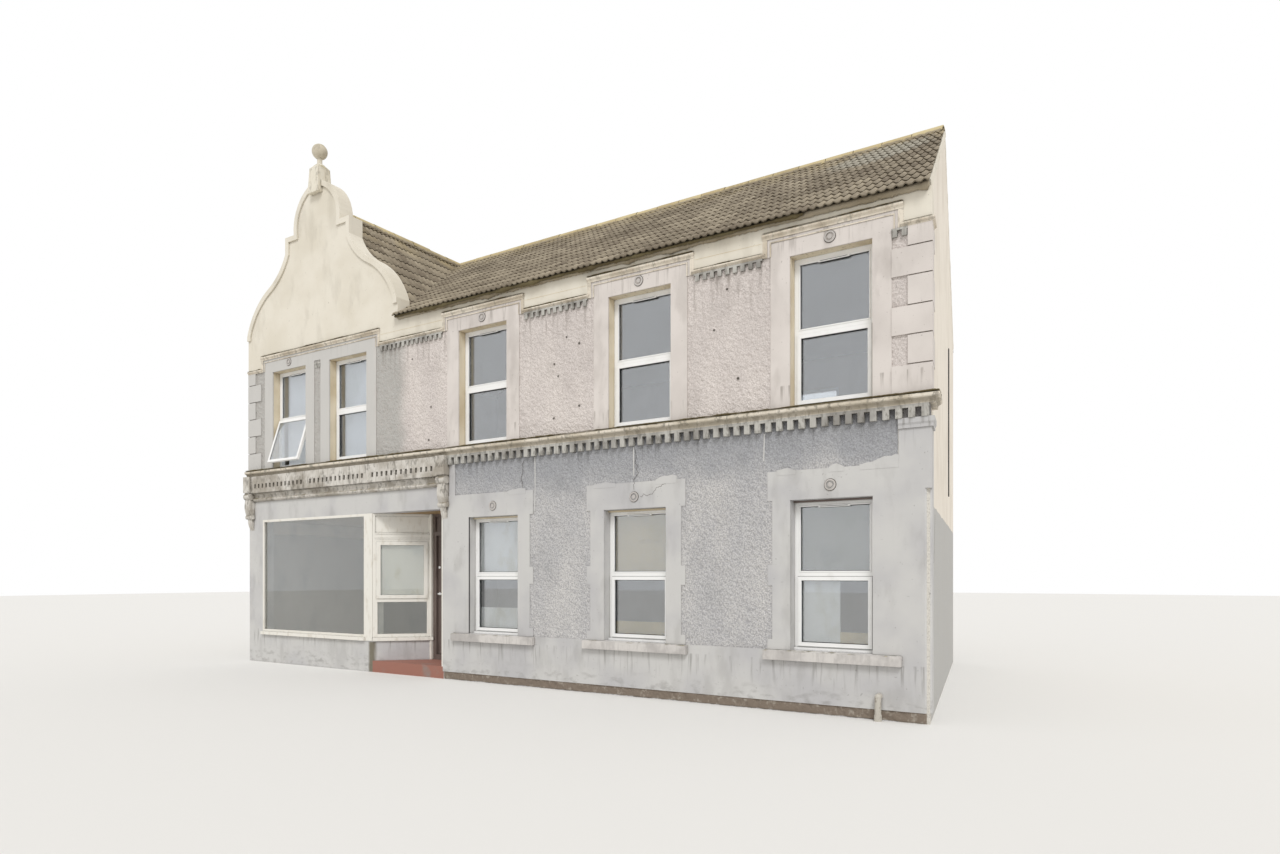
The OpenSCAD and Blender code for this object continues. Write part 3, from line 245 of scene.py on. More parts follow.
def painted_render(name, base, patch, dirt, ledges, rough=0.82, grain_mm=9, grain_depth=0.5,
                   wet_foot=0.0, skirt=None, side_tone=None, mottle=0.35, drip=None):
    """Masonry paint on render: patches, streaks, dirt below each ledge, and painted shade in corners.
    wet_foot is the height that damp climbs to. A skirt, (height, colour), is another paint below a
    line cut in by hand. A side tone, (x, colour), is the paint to the left of x. A drip, (x, top,
    colour), is a stain from top to the ground, about 90 mm wide with soft edges."""
    paint = Finish(name, rough, base)
    paint.layer(paint.patches(900, 0.40, 0.68, detail=3), patch)
    if skirt:
        line, tone = skirt
        height = paint.wavy(paint.axis("Z"), 400, 0.06)
        paint.layer(paint.ramp(height, line + 0.03, line + 0.04, 1.0, 0.0), tone)
    streaks = paint.patches(45, 0.52, 0.72, stretch=(1, 1, 14), detail=3)
    stains = rain_stains(paint, paint.patches(260, 0.50, 0.70, mottle, (1, 1, 2.5)), streaks, ledges)
    if wet_foot:
        foot = paint.ramp(paint.axis("Z"), 0.12, wet_foot, 1.0, 0.0)
        damp = paint.patches(150, 0.46, 0.72, 0.75, (1, 1, 0.5), detail=5)
        stains = paint.larger(stains, paint.times(foot, damp))
    paint.layer(paint.times(stains, 0.62), dirt)
    if drip:
        x, top, tone = drip
        across = paint.wavy(paint.axis("X"), 90, 0.05, (1, 1, 3))
        inside = paint.band(across, (x - 0.075, x - 0.010), (x + 0.050, x + 0.115), 0.9)
        paint.layer(paint.times(inside, paint.ramp(paint.axis("Z"), top - 0.03, top, 1.0, 0.0)), tone)
    paint.layer(paint.patches(30, 0.70, 0.76, 0.5, detail=2), dirt)
    if side_tone:
        x, tone = side_tone
        across = paint.wavy(paint.axis("X"), 500, 0.5)
        paint.layer(paint.ramp(across, x + 0.1, x + 0.4, 0.85, 0.0), tone)
    # Painted shade in corners and under the mouldings, in the dirt colour
    paint.layer(paint.shade_in_corners(45, 0.55), dirt)
    return paint.done((paint.noise(160, detail=2), 2.5), (paint.noise(grain_mm, detail=3), grain_depth))


# The left bay of the upper storey was left in an older grey, as far as this X
OLD_GREY_X = -2.60

# Cream masonry paint on smooth render: matt, warm, with grey-brown rain streaks
cream = painted_render("cream_masonry_paint", "#E3DDD0", "#DAD3C4", "#9A9282", [(label_low, 0.6)], mottle=0.3)
# Cream paint on the side and back walls, with a grey skirt along the side street
cream_side = painted_render("cream_paint_on_side_wall", "#EAE2D6", "#E0D7CA", "#A79D89", [],
                            skirt=(2.42, "#B6B5B2"), mottle=0.18)
# Pale grey masonry paint on smooth render: streaked below the sills, damp at its foot, and
# stained brown down one post
grey_smooth = painted_render("grey_masonry_paint", "#C8C7C5", "#BAB9BA", "#7C7975",
                             [(sill_low, 0.45), (string_low, 0.4)], wet_foot=0.42,
                             drip=(-2.78, 0.52, "#6A6350"))
# Round plaques: grey-pink paint, between the tones of both storeys
plaque_paint = painted_render("plaque_paint", "#C3BEBA", "#B9B4B1", "#77746F", [], mottle=0.5)
# Pink-cream paint on the surrounds and blocks of the upper storey
upper_smooth = painted_render("pale_paint_on_surrounds", "#DAD3CE", "#CDC6C1", "#857D75",
                              [(label_low + 0.22, 0.5), (string_top + 0.25, 0.25)],
                              side_tone=(OLD_GREY_X, "#C3C2BF"))
# Reveals of the upper windows: older cream paint, browner towards the heads, with painted shade in corners
old_cream = painted_render("browned_cream_in_reveals", "#DED3BC", "#CBBB9D", "#93805F",
                           [(string_top + 1.79, 0.3)])
print("paints on render:", len(bpy.data.materials))

# %% [markdown]
# Roughcast is wet mortar thrown at the wall with small stones in it, then painted. Its stones are
# 6 to 14 mm across, which is under a pixel from the street, so the lumps that show are the
# clusters, 20 to 40 mm apart. The larger relief is real geometry further down, and the material
# adds the stones as bump, with painted shade in the hollows.

# %% Roughcast
STONE_MM = 18.0        # distance between two stones


def roughcast(name, base, pale, hollow_shade, ledges, dirt, contrast, plain=None, side_tone=None, shade=None):
    """Thrown mortar under paint. Voronoi cells are the stones, and noise gathers them in clusters.
    hollow_shade is painted shade between the stones. plain is (x, colour): right of x the wall is smooth.
    side_tone is (x, colour) for the paint left of x. shade is (low, high, colour): painted shade that
    grows from low to high."""
    paint = Finish(name, 0.9, base)
    cells = paint.add("TexVoronoi", {"Vector": paint.places()}, Scale=1000 / STONE_MM, Randomness=1.0)
    pits = paint.patches(19, 0.34, 0.58, detail=5, rough=0.8)
    lumps = paint.times(paint.ramp(cells.outputs["Distance"], 0.15, 0.75, 1.0, 0.0), pits)
    paint.layer(paint.patches(700, 0.40, 0.64, stretch=(1, 1, 3), detail=3), pale)
    if side_tone:
        x, tone = side_tone
        paint.layer(paint.ramp(paint.wavy(paint.axis("X"), 300, 0.25), x, x + 0.35, 1.0, 0.0), tone)
    if shade:
        low, high, tone = shade
        # Painted shade, darker towards the top of the wall
        height = paint.wavy(paint.axis("Z"), 450, 0.8)
        paint.layer(paint.ramp(height, low + 0.4, high + 0.4, 0.0, 0.85), tone)
    # Painted shade in the hollows between the stones
    paint.layer(paint.ramp(lumps, 0.03, 0.30, contrast, 0.0), hollow_shade)
    streaks = paint.patches(60, 0.48, 0.70, stretch=(1, 1, 12), detail=3)
    stains = rain_stains(paint, paint.patches(330, 0.50, 0.72, 0.25), streaks, ledges)
    paint.layer(paint.times(stains, 0.6), dirt)
    # Painted shade on the wall behind the string course, between its dentils
    paint.layer(paint.band(paint.axis("Z"), (string_low - 0.02, string_low + 0.02),
                           (string_top - 0.10, string_top - 0.05), 0.8), "#6C6C6E")
    if plain:
        x, tone = plain
        paint.layer(paint.ramp(paint.axis("X"), x, x + 0.01), tone)
    return paint.done((lumps, 4))


# Grey masonry paint on the roughcast of the ground floor, painted shade near its top, smooth over the shop
lower_cast = roughcast("grey_painted_roughcast", "#C6C5C5", "#D2D0CE", "#818086", [(string_low, 0.3)],
                       "#6F6F6F", 0.55, plain=(5.93, "#CFCBC3"), shade=(2.55, 3.25, "#A2A4A8"))
# Pale pink-grey masonry paint on the roughcast of the upper storey
upper_cast = roughcast("pale_painted_roughcast", "#DAD2CE", "#E3DBD6", "#A89F9A", [(label_low, 0.8)],
                       "#857C75", 0.50, side_tone=(-2.05, "#B9B8B4"))
print("roughcast in two paints, stones %.0f mm apart" % STONE_MM)

# %% [markdown]
# Run mouldings are shaped in wet cement with a metal template drawn along a rail, and cast stone is
# poured in a mould. Both are painted with the wall, but their tops hold water, so moss and lichen
# grow there. A surface that faces up is known from its own normal, which needs no painting by hand:
# the more it faces up, and the more a noise allows, the more moss it gets.

# %% Mouldings with moss on their tops
# A dark tone for soot patches, and for painted shade in corners
SOOT_AND_SHADE_TONE, LICHEN_TONE = "#5B564D", "#B9AE86"


def mossy(name, base, dirt, moss, spread, bands=(), grime_part=0.55):
    """Painted cement whose upward faces carry moss. Up is the Z of the surface's own normal. Each
    band is (low, high, colour, amount): a stripe of paint between two heights, with ragged edges."""
    paint = Finish(name, 0.85, base)
    lumps = paint.noise(110, detail=5)
    paint.layer(paint.patches(420, 0.42, 0.66), dirt)
    paint.layer(paint.patches(38, 0.50, 0.68, 0.5, (1, 1, 9)), dirt)
    paint.layer(paint.patches(75, 0.50, 0.62, grime_part, (1, 1, 2), detail=6, rough=0.7), SOOT_AND_SHADE_TONE)
    for low, high, tone, amount in bands:
        height = paint.wavy(paint.axis("Z"), 60, 0.016, detail=3)
        rise, fall = (low + 0.006, low + 0.010), (high + 0.006, high + 0.010)
        paint.layer(paint.band(height, rise, fall, amount), tone)
    up = paint.add("SeparateXYZ", {0: paint.add("NewGeometry").outputs["Normal"]}).outputs["Z"]
    grown = paint.times(paint.ramp(up, 0.25, 0.60), paint.ramp(lumps, 0.62 - spread * 0.4, 0.66))
    paint.layer(grown, moss)
    paint.layer(paint.times(grown, paint.patches(35, 0.56, 0.66, detail=2)), LICHEN_TONE)
    # Painted shade in corners and under the mouldings
    paint.layer(paint.shade_in_corners(55, 0.7), SOOT_AND_SHADE_TONE)
    return paint.done((lumps, 4), (paint.noise(12), 1.2))


# The street's string course: cream paint with brown moss all along its fall
string_paint = mossy("moss_grown_string_moulding", "#DED6C8", "#C2B8A6", "#6A6048", 0.7,
                     bands=[(string_low + 0.15, string_top - 0.075, "#8C8373", 0.6),
                            (string_top - 0.036, 9, "#5F553D", 0.7)])
# The upper moulding: cream-pink paint, with brown edges on top
label_paint = mossy("painted_label_moulding", "#E3DACB", "#C2B6A3", "#6E6147", 0.6, grime_part=0.35)
# Dentils: unwashed grey-white paint, with painted shade in the gaps between them
dentil_paint = mossy("weathered_dentil_paint", "#BAB8B2", "#8E8B86", "#6F6957", 0.35)
# Cornice and brackets of the shopfront: many coats of pink-white paint over run plaster
cornice_paint = mossy("many_coats_on_shop_cornice", "#D2CEC7", "#A39C91", "#776D55", 0.6)
# Cast stone ball and pedestal: cement cast in a mould, weathered to beige
stone_cast = mossy("weathered_cast_stone", "#E4DECF", "#C9C0AD", "#B0A788", 0.3, grime_part=0.3)
# Painted cast sills: grey paint that has worn to stone on the edge
sill_stone = mossy("painted_cast_sill", "#D0CCC8", "#B4B0AD", "#8C877A", 0.3, grime_part=0.12)
print("materials with the mouldings:", len(bpy.data.materials))

# %% [markdown]
# Concrete interlocking tiles are pressed from coloured mortar. After some decades the colour has
# gone to grey-brown, and each tile keeps a tone of its own. That tone is an attribute that the
# mesh code writes once for each tile, so the pattern follows the tiles and not the air around
# them. Lichen is a pale crust in patches, and the joints and laps carry painted shade.

# %% Roof finishes


def tile_concrete(name, dark, pale, lichen, edge_darkening, cement=None):
    """Weathered concrete: a tone per tile, lichen above, painted shade at the lower edge of every course.
    cement is (x, y, z, radius) of a pale patch of cement wash."""
    paint = Finish(name, 0.92, dark)
    tone, edge = (paint.add("Attribute", attribute_name=key).outputs["Fac"] for key in ("tone", "edge"))
    paint.layer(tone, pale)
    paint.layer(paint.patches(1300, 0.47, 0.70, 0.5), "#5E5242")
    paint.layer(paint.patches(70, 0.53, 0.66, 0.6, detail=6, rough=0.7), lichen)
    near_ridge = paint.ramp(paint.axis("Z"), roof_top - 0.75, roof_top - 0.05)
    paint.layer(paint.times(near_ridge, paint.patches(380, 0.38, 0.62, 0.6)), "#B9A880")
    if cement:
        *middle, radius = cement
        far = paint.add("VectorMath", {0: paint.places(), 1: middle}, operation="DISTANCE").outputs["Value"]
        paint.layer(paint.ramp(paint.wavy(far, 400, 0.5), radius - 0.1, radius + 0.25, 0.8, 0.0), "#B4B0A3")
    # Painted shade along the lower edge of every course: darker towards each nose, dark underneath
    paint.layer(paint.times(edge, edge_darkening), "#39301F")
    # Painted shade in the joints and laps between the tiles
    paint.layer(paint.shade_in_corners(60, 0.75), "#3B3226")
    return paint.done((paint.noise(14, detail=5, rough=0.7), 2.2))


# Street and side slopes: grey-brown concrete tiles
tile_paint = tile_concrete("weathered_concrete_tiles", "#7D7161", "#B5A994", "#C3B9A3", 0.8,
                           cement=(5.0, -0.85, 7.7, 0.85))
# Mortar bed of the ridge and the eaves, and the plain slabs of the frame
slab_edge = painted_render("mortar_bed_under_tiles", "#A59A86", "#8D8069", "#4C4333", [], rough=0.95,
                           grain_mm=18, grain_depth=3)
# Moss in cushions along the eaves and on top of every ledge: olive and brown, quite dull
moss_green = painted_render("moss_cushions", "#5B5036", "#6F6548", "#3A3122", [], rough=1.0,
                            grain_mm=10, grain_depth=4)
# Ridge tiles: half-round concrete, crusted with yellow lichen
ridge_paint = tile_concrete("lichen_crusted_ridge_tiles", "#B3A27C", "#CDBF97", "#D8CB9E", 0.4)
print("materials with the roof's:", len(bpy.data.materials))

# %% [markdown]
# The window frames are extruded white PVC, welded at the corners: slightly glossy, and the same
# white everywhere, with painted shade in the corners. The shopfront's frames are softwood under many
# coats of white gloss, which chips along the edges. The door is dark stained softwood. Paint and
# plastic are told apart by their gloss and by the brush marks.

# %% Frames, timber and metal


def plain_finish(name, base, worn, rough, size_mm, wear, grain, stretch=(1, 1, 1), corners=0.0):
    """One colour with soft wear, whose lumps are size_mm apart and stretched as the material's grain
    is. wear is the share of the worn colour, grain the bump in mm, corners the painted shade in corners."""
    paint = Finish(name, rough, base)
    paint.layer(paint.patches(size_mm, 0.52, 0.72, wear, stretch, detail=5, rough=0.6), worn)
    if corners:
        # Painted shade in corners
        paint.layer(paint.shade_in_corners(28, corners), "#4F4B44")
    return paint.done((paint.noise(size_mm / 6, stretch, detail=3), grain))


# Extruded PVC: smooth and slightly glossy, with painted shade in the corners
white_pvc = plain_finish("extruded_white_pvc", "#F1F1F0", "#D5D4D0", 0.32, 220, 0.35, 0.05, corners=0.45)
# White gloss paint on softwood, yellowed, with brush marks along the rails
white_gloss = plain_finish("white_gloss_on_softwood", "#E6E3DB", "#C6BEAE", 0.38, 90, 0.5, 0.4,
                           (1, 1, 2.5), corners=0.8)
# Brown stain on softwood: satin, with the grain running up the stiles
brown_stain = plain_finish("brown_stained_softwood", "#6A5D57", "#4E423C", 0.45, 40, 0.8, 0.6, (1, 1, 12))
# Red floor paint on concrete, worn through to grey where feet fall
red_paint = plain_finish("worn_red_step_paint", "#9A6B5D", "#8B827C", 0.8, 320, 0.8, 1.5)
# Black PVC gutter, dulled by the sun
black_pvc = plain_finish("dulled_black_pvc", "#33343A", "#54555A", 0.5, 200, 0.5, 0.1)
# Grey PVC drain pipe, splashed with lime and dirt
grey_pvc = plain_finish("splashed_grey_pipe", "#BDB8AE", "#7F776B", 0.6, 60, 0.8, 0.5)
# Net curtain hung in folds: white, a little blue in daylight
white_curtain = plain_finish("white_net_curtain", "#F1F4F6", "#DDE3E8", 0.9, 160, 0.5, 0.6, (1, 1, 8))
# White powder-coated handle metal: smooth and glossy
white_metal = plain_finish("white_powder_coat", "#ECECEA", "#C9C8C4", 0.25, 40, 0.2, 0.05)
# Black rubber gasket between frame and glass: dull, with no pattern at this size
# The same black is painted shadow round the sashes and in the vents' slots
black_rubber_and_shadow = plain_finish("black_rubber_and_painted_shadow", "#2A2B2D", "#3C3D3F", 0.7, 60, 0.5, 0.05)
# Screeded concrete floor of the shop
concrete = plain_finish("screeded_concrete_floor", "#9C9A94", "#7C7973", 0.9, 500, 0.7, 2)
# Softwood floor boards of the upper storey, seen only through the windows
boards = plain_finish("softwood_floor_boards", "#A88D66", "#8A7050", 0.7, 30, 0.7, 0.5, (14, 1, 1))
# Dirt in rings, cracks and old fixing holes: dull and dark
soot = plain_finish("dirt_in_cracks", "#57524B", "#6E675D", 0.95, 80, 0.6, 0.1)
# Brick and rubble footing, where the render has fallen away
rubble = plain_finish("rubble_footing", "#7D7165", "#A39B90", 0.95, 70, 0.9, 3)
# Yellowed plywood behind the panes
ply_board = plain_finish("yellowed_plywood", "#C9B27A", "#A88F58", 0.7, 220, 0.7, 0.2, (4, 1, 1))
# Plasterboard and paper behind the panes: white, water-stained
blind_board = plain_finish("stained_white_board", "#F2F0E8", "#CFC7AC", 0.85, 340, 0.6, 0.3, (1, 1, 1.6))
# Olive paper against a dim room
olive_board = plain_finish("olive_paper", "#8D8A78", "#6F6C5C", 0.9, 400, 0.8, 0.2, (1, 1, 1.3))
# Paint that ran down the wall: a little paler than the roughcast
pale_run = plain_finish("pale_paint_runs", "#CBCAC8", "#B5B4B4", 0.85, 90, 0.8, 0.3, (1, 1, 6))
print("materials with frames and boards:", len(bpy.data.materials))

# %% [markdown]
# Glass is a transmissive dielectric with an index of 1.52. A double unit has four faces, so it
# mirrors about twice as much of the sky as one sheet: a clear coat on the shader stands for the
# faces that the single solid in the frame lacks.

# %% Glass


def window_glass(name, tint, coat_ior):
    """Clear glass with a slight tint. The coat adds the reflections of a second sheet."""
    paint = Finish(name, 0.01, tint, IOR=1.52, Transmission_Weight=1.0, Coat_Weight=1.0,
                   Coat_IOR=coat_ior, Coat_Roughness=0.02, Specular_Tint=linear(tint))
    paint.layer(paint.patches(500, 0.45, 0.75, 0.5, (1, 1, 1.5)), "#DDE3E4")
    return paint.done()


# Clear float glass in sealed double units
pane_glass = window_glass("double_glazed_unit", "#F0F5FA", 2.45)
# Clear plate glass of the shop window: one thick sheet
shop_pane_glass = window_glass("shopfront_plate_glass", "#F6F8F5", 1.9)
print("materials in all:", len(bpy.data.materials))

# %% [markdown]
# Every CAD node now gets its finish. A node keeps one material, and a dictionary from material to
# nodes is easier to check than a long list of lines: the script stops if a node is left out.

# %% Give each node its finish
finishes = {
    plaque_paint: ["round_plaques"],
    cream: ["curved_gable", "gable_coping", "frieze", "back_gable"],
    cream_side: ["side_wall", "back_wall", "left_wall"],
    grey_smooth: ["ground_surrounds", "plinth", "corner_pilaster", "shop_pilaster", "shop_fascia",
                  "stall_riser"],
    upper_smooth: ["upper_surrounds", "corner_quoins", "left_quoins"],
    lower_cast: ["ground_front_wall"],
    upper_cast: ["upper_front_wall"],
    string_paint: ["string_course"],
    label_paint: ["label_moulding"],
    dentil_paint: ["label_dentils", "string_dentils"],
    cornice_paint: ["shop_cornice", "scroll_brackets"],
    stone_cast: ["gable_pedestal", "gable_ball"],
    sill_stone: ["window_sills"],
    slab_edge: ["roof_front_slope", "roof_back_slope", "cross_roof_left", "cross_roof_right"],
    ridge_paint: ["ridge_tiles"],
    white_pvc: ["ground_window_frames", "upper_window_frames", "back_window_frames"],
    white_gloss: ["shop_window_frame", "door_screen"],
    brown_stain: ["door_frame", "door_leaf"],
    white_metal: ["door_handle"],
    pane_glass: ["window_glass"],
    shop_pane_glass: ["shop_glass"],
    red_paint: ["entrance_step"],
    concrete: ["ground_floor"],
    boards: ["upper_floor"],
    black_pvc: ["back_gutter"],
    grey_pvc: ["pipe_stub"],
}
for material, names in finishes.items():
    for name in names:
        mesh = nodes[name].data
        mesh.materials.clear()
        mesh.materials.append(material)
missing = sorted(set(nodes) - {name for names in finishes.values() for name in names})
assert not missing, missing
print("finished nodes:", sum(len(names) for names in finishes.values()))

# %% [markdown]
# New pieces are meshes computed as arrays. One helper turns points and faces into an object that
# rides on a body and has its material, so that each later cell is only about shape.

# %% Mesh helpers


def face_outward(mesh):
    """Turns the faces of closed shells outward."""
    work = bmesh.new()
    work.from_mesh(mesh)
    bmesh.ops.recalc_face_normals(work, faces=work.faces[:])
    work.to_mesh(mesh)
    work.free()


def piece(name, points, faces, material, slot, body="building", smooth=False, closed=True):
    """A mesh object from points and faces, which rides on body. Closed shells are faced outward."""
    mesh = bpy.data.meshes.new(name)
    faces = faces if isinstance(faces, list) else faces.tolist()
    mesh.from_pydata(np.asarray(points, float).reshape(-1, 3).tolist(), [], faces)
    mesh.materials.append(material)
    mesh.polygons.foreach_set("use_smooth", np.full(len(mesh.polygons), smooth))
    if closed:
        face_outward(mesh)
    mesh.update()
    thing = bpy.data.objects.new(name, mesh)
    bpy.context.scene.collection.objects.link(thing)
    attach(thing, body)
    return thing


def keep_values(thing, key, values):
    """Writes one number for each point of a piece, as an attribute that its material reads."""
    attribute = thing.data.attributes.new(key, "FLOAT", "POINT")
    attribute.data.foreach_set("value", values.astype(np.float32))


def sheet_faces(rows, columns):
    """Quads of a grid whose points run along its columns first."""
    corner = np.arange(rows * columns).reshape(rows, columns)
    quads = np.stack([corner[:-1, :-1], corner[:-1, 1:], corner[1:, 1:], corner[1:, :-1]], -1)
    return quads.reshape(-1, 4)


def repeat(points, faces, offsets):
    """Copies of one small shape: points + offset for each offset, with the faces numbered on."""
    many = (points[None] + offsets[:, None]).reshape(-1, 3)
    steps = (np.arange(len(offsets)) * len(points))[:, None, None]
    return many, (faces[None] + steps).reshape(-1, faces.shape[1])


def cuboids(lows, highs):
    """Closed boxes between pairs of corners. Corner k takes its X, Y and Z from the bits of k."""
    lows, highs = np.asarray(lows, float), np.asarray(highs, float)
    bits = np.array([[k & 1, k >> 1 & 1, k >> 2] for k in range(8)])
    points = lows[:, None] + bits[None] * (highs - lows)[:, None]
    faces = np.array([[0, 2, 3, 1], [4, 5, 7, 6], [0, 1, 5, 4], [2, 6, 7, 3], [0, 4, 6, 2], [1, 3, 7, 5]])
    return points.reshape(-1, 3), (faces[None] + (np.arange(len(lows)) * 8)[:, None, None]).reshape(-1, 4)


def prisms(outlines, shift):
    """Closed prisms: each outline of points, and the same outline moved by shift."""
    points, faces = [], []
    for outline in outlines:
        n, first = len(outline), len(points)
        points += list(outline) + [tuple(np.add(point, shift)) for point in outline]
        faces += [list(range(first, first + n)), list(range(first + 2 * n - 1, first + n - 1, -1))]
        faces += [[first + k, first + k + n, first + (k + 1) % n + n, first + (k + 1) % n] for k in range(n)]
    return points, faces


def tubes(name, skins, material, slot, smooth=True):
    """Closed skins over rings of points: quads between neighbouring rings, and a face over each end."""
    faces, first = [], 0
    for rings in skins:
        rows, n = rings.shape[:2]
        ids = np.arange(rows * n).reshape(rows, n) + first
        turn = np.roll(ids, -1, 1)
        faces += np.stack([ids[:-1], turn[:-1], turn[1:], ids[1:]], -1).reshape(-1, 4).tolist()
        faces += [ids[0, ::-1].tolist(), ids[-1].tolist()]
        first += rows * n
    points = np.concatenate([rings.reshape(-1, 3) for rings in skins])
    return piece(name, points, faces, material, slot, smooth=smooth)


# %% [markdown]
# The roof is laid in courses from the eaves up. Each concrete tile covers 200 mm across and has two
# small rolls, and its lower edge laps over the course below. A tile here is one small closed shell,
# a section swept from its head to its nose, and the slope is that shell copied on a grid, each with
# a small seeded error in height and tone. The shells are cut at the verge and the valley with
# planes, as a roofer cuts them, because squeezing them to fit would bend the rolls.

# %% Roof tile fields
GAUGE = 0.312          # distance between courses
TILE_W = 0.200         # width that one tile covers
ROLL_H = 0.022         # height of a roll
ROLL_HALF = 0.36       # half width of a roll, as a share of the distance between rolls
TILE_T = 0.015         # thickness of a tile
LAP = 0.070            # length of a tile under the next course
HEAD_LIFT = 0.002      # height of a tile's head over the battens
NOSE_LIFT = TILE_T + 0.005
LAY_ERROR = (0.001, 0.004, 0.0012)     # spread across, down and up of a laid tile


def tile_shell():
    """One tile in (across, down, up). Up is ROLL_H times cos squared of the distance from a roll's
    middle, within its half width, so that flat pans lie between two rolls. The head lies on the
    batten and the nose on the tile below, one thickness higher. Also the share of painted shade."""
    across = np.linspace(0, 1, 13)
    near = np.abs((across * 2) % 1 - 0.5) / ROLL_HALF
    roll = np.where(near < 1, np.cos(np.minimum(near, 1) * math.pi / 2) ** 2, 0)
    down = np.array([-LAP, GAUGE])[:, None]
    lift = np.array([HEAD_LIFT, NOSE_LIFT])[:, None] + TILE_T + roll[None] * ROLL_H
    top = np.stack(np.broadcast_arrays(across[None] * TILE_W, down, lift), -1)
    low = top - [0, 0, TILE_T]
    m = across.size
    k = np.arange(m - 1)
    points = np.concatenate([top[0], top[1], low[1], low[0]])
    turns = [np.stack([a * m + k, a * m + k + 1, b * m + k + 1, b * m + k], -1)
             for a, b in ((0, 1), (1, 2), (2, 3), (3, 0))]
    ends = np.array([[0, m, 2 * m, 3 * m], [4 * m - 1, 3 * m - 1, 2 * m - 1, m - 1]])
    return points, np.concatenate(turns + [ends]), np.repeat([0.0, 0.7, 1.0, 1.0], m)


def cut(mesh, planes):
    """Cuts a mesh with upright planes, each (point, normal): what lies on the normal's side goes, and
    the cut is closed."""
    work = bmesh.new()
    work.from_mesh(mesh)
    for point, normal in planes:
        parts = work.verts[:] + work.edges[:] + work.faces[:]
        made = bmesh.ops.bisect_plane(work, geom=parts, dist=1e-5, plane_co=point, plane_no=normal,
                                      clear_outer=True)
        edges = [e for e in made["geom_cut"] if isinstance(e, bmesh.types.BMEdge)]
        bmesh.ops.holes_fill(work, edges=edges, sides=0)
    bmesh.ops.recalc_face_normals(work, faces=work.faces[:])
    work.to_mesh(mesh)
    work.free()


def tile_field(name, origin, across, down, up, width, length, planes, seed):
    """Tiles on a slope from its eaves end: origin is the upper left corner, and width and length
    its size. The courses start at the eaves, so that the last one at the ridge is cut short."""
    rng = np.random.default_rng(seed)
    shell, faces, darkening_share = tile_shell()
    columns, rows = int(math.ceil(width / TILE_W)) + 1, int(math.ceil(length / GAUGE))
    i, j = (grid.ravel() for grid in np.meshgrid(np.arange(columns), np.arange(rows)))
    place = np.stack([i * TILE_W, length - (j + 1) * GAUGE, np.zeros(i.size)], -1).astype(float)
    place += rng.normal(0, 1, (i.size, 3)) * LAY_ERROR
    place[:, 1] -= np.where(j == 0, 0.004, 0)
    flat, all_faces = repeat(shell, faces, place)
    points = flat @ np.array([across, down, up]) + np.array(origin)
    thing = piece(name, points, all_faces, tile_paint, "roof_tile")
    keep_values(thing, "tone", np.repeat(np.clip(rng.beta(2.2, 2.2, i.size), 0, 1), len(shell)))
    keep_values(thing, "edge", np.tile(darkening_share, i.size) * 0.8)
    cut(thing.data, planes)
    print(name, len(thing.data.polygons), "faces")
    return thing


# %% [markdown]
# A roof is set out from its ridges: the two slopes of the long roof fall to the street and to the
# rear, and the steeper cross roof meets them in two valleys. All of it is read from the frame. The
# tiles replace the frame's plain slabs: their battens lie on the rafters' line, which is the
# underside of a slab at the ridge and, as the eaves are tilted up, its top there. They run a
# little past each valley, under those of the other slope, as they would on a valley board.

# %% Lay the five tile fields
front_low, front_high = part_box("roof_front_slope")
cross_low, cross_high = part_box("cross_roof_right")
RIDGE_X, SLAB_TOP = cross_low.x, cross_high.z
VALLEY_X = cross_high.x
EAVES = -front_low.y
INNER_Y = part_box("left_wall")[1].y
SLAB_T = 0.055         # upright thickness of the tile layer in the frame
RIDGE_Z = SLAB_TOP - SLAB_T
STAND = 0.05           # height of the noses over the battens
UNDER = 0.03           # distance that tiles run on past a valley
OVERHANG = 0.004       # distance that the noses pass the eaves
SIDE_RUN = RIDGE_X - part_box("cross_roof_left")[0].x
MAIN_FALL = RIDGE_Z - SLAB_T - front_low.z
SIDE_FALL = RIDGE_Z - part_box("cross_roof_left")[0].z
VERGE_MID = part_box("roof_back_slope")[1].x
VERGE_LEAN = front_high.x - VERGE_MID
LEAN = VALLEY_X - RIDGE_X


def verge_x(y):
    """X of the side wall's face at y: a straight line through its places at the eaves and the ridge."""
    return VERGE_MID - VERGE_LEAN * y / EAVES


def plane(point, normal):
    """An upright plane through (x, y), with its normal (x, y) toward what is cut away."""
    return Vector((*point, 0)), Vector((*normal, 0))


def slope_axes(toward, run, fall):
    """Across, down and up of a slope that falls by fall over run, as unit vectors, and its pitch."""
    toward = np.array(toward, float)
    pitch = math.atan2(fall, run)
    down = toward * math.cos(pitch) - np.array([0, 0, math.sin(pitch)])
    up = toward * math.sin(pitch) + np.array([0, 0, math.cos(pitch)])
    return np.cross(down, up), down, up, pitch


def slope_tiles(name, toward, fall, reach, ends, planes, seed, replaced=None):
    """Tiles from the ridge to reach metres out, between two ends (x, y) along the ridge. fall is the
    pair (run, fall) of the slope, and replaced is the slab that the tiles take the place of."""
    across, down, up, pitch = slope_axes((*toward, 0), *fall)
    start = min(ends, key=lambda end: float(np.dot(end, across[:2])))
    width = abs(float(np.dot(np.subtract(*ends), across[:2])))
    length = (reach - STAND * math.sin(pitch)) / math.cos(pitch)
    at_ridge = plane((RIDGE_X, 0), (-toward[0], -toward[1]))
    thing = tile_field(name, (*start, RIDGE_Z), across, down, up, width, length, planes + [at_ridge], seed)
    if replaced:
        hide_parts(replaced)


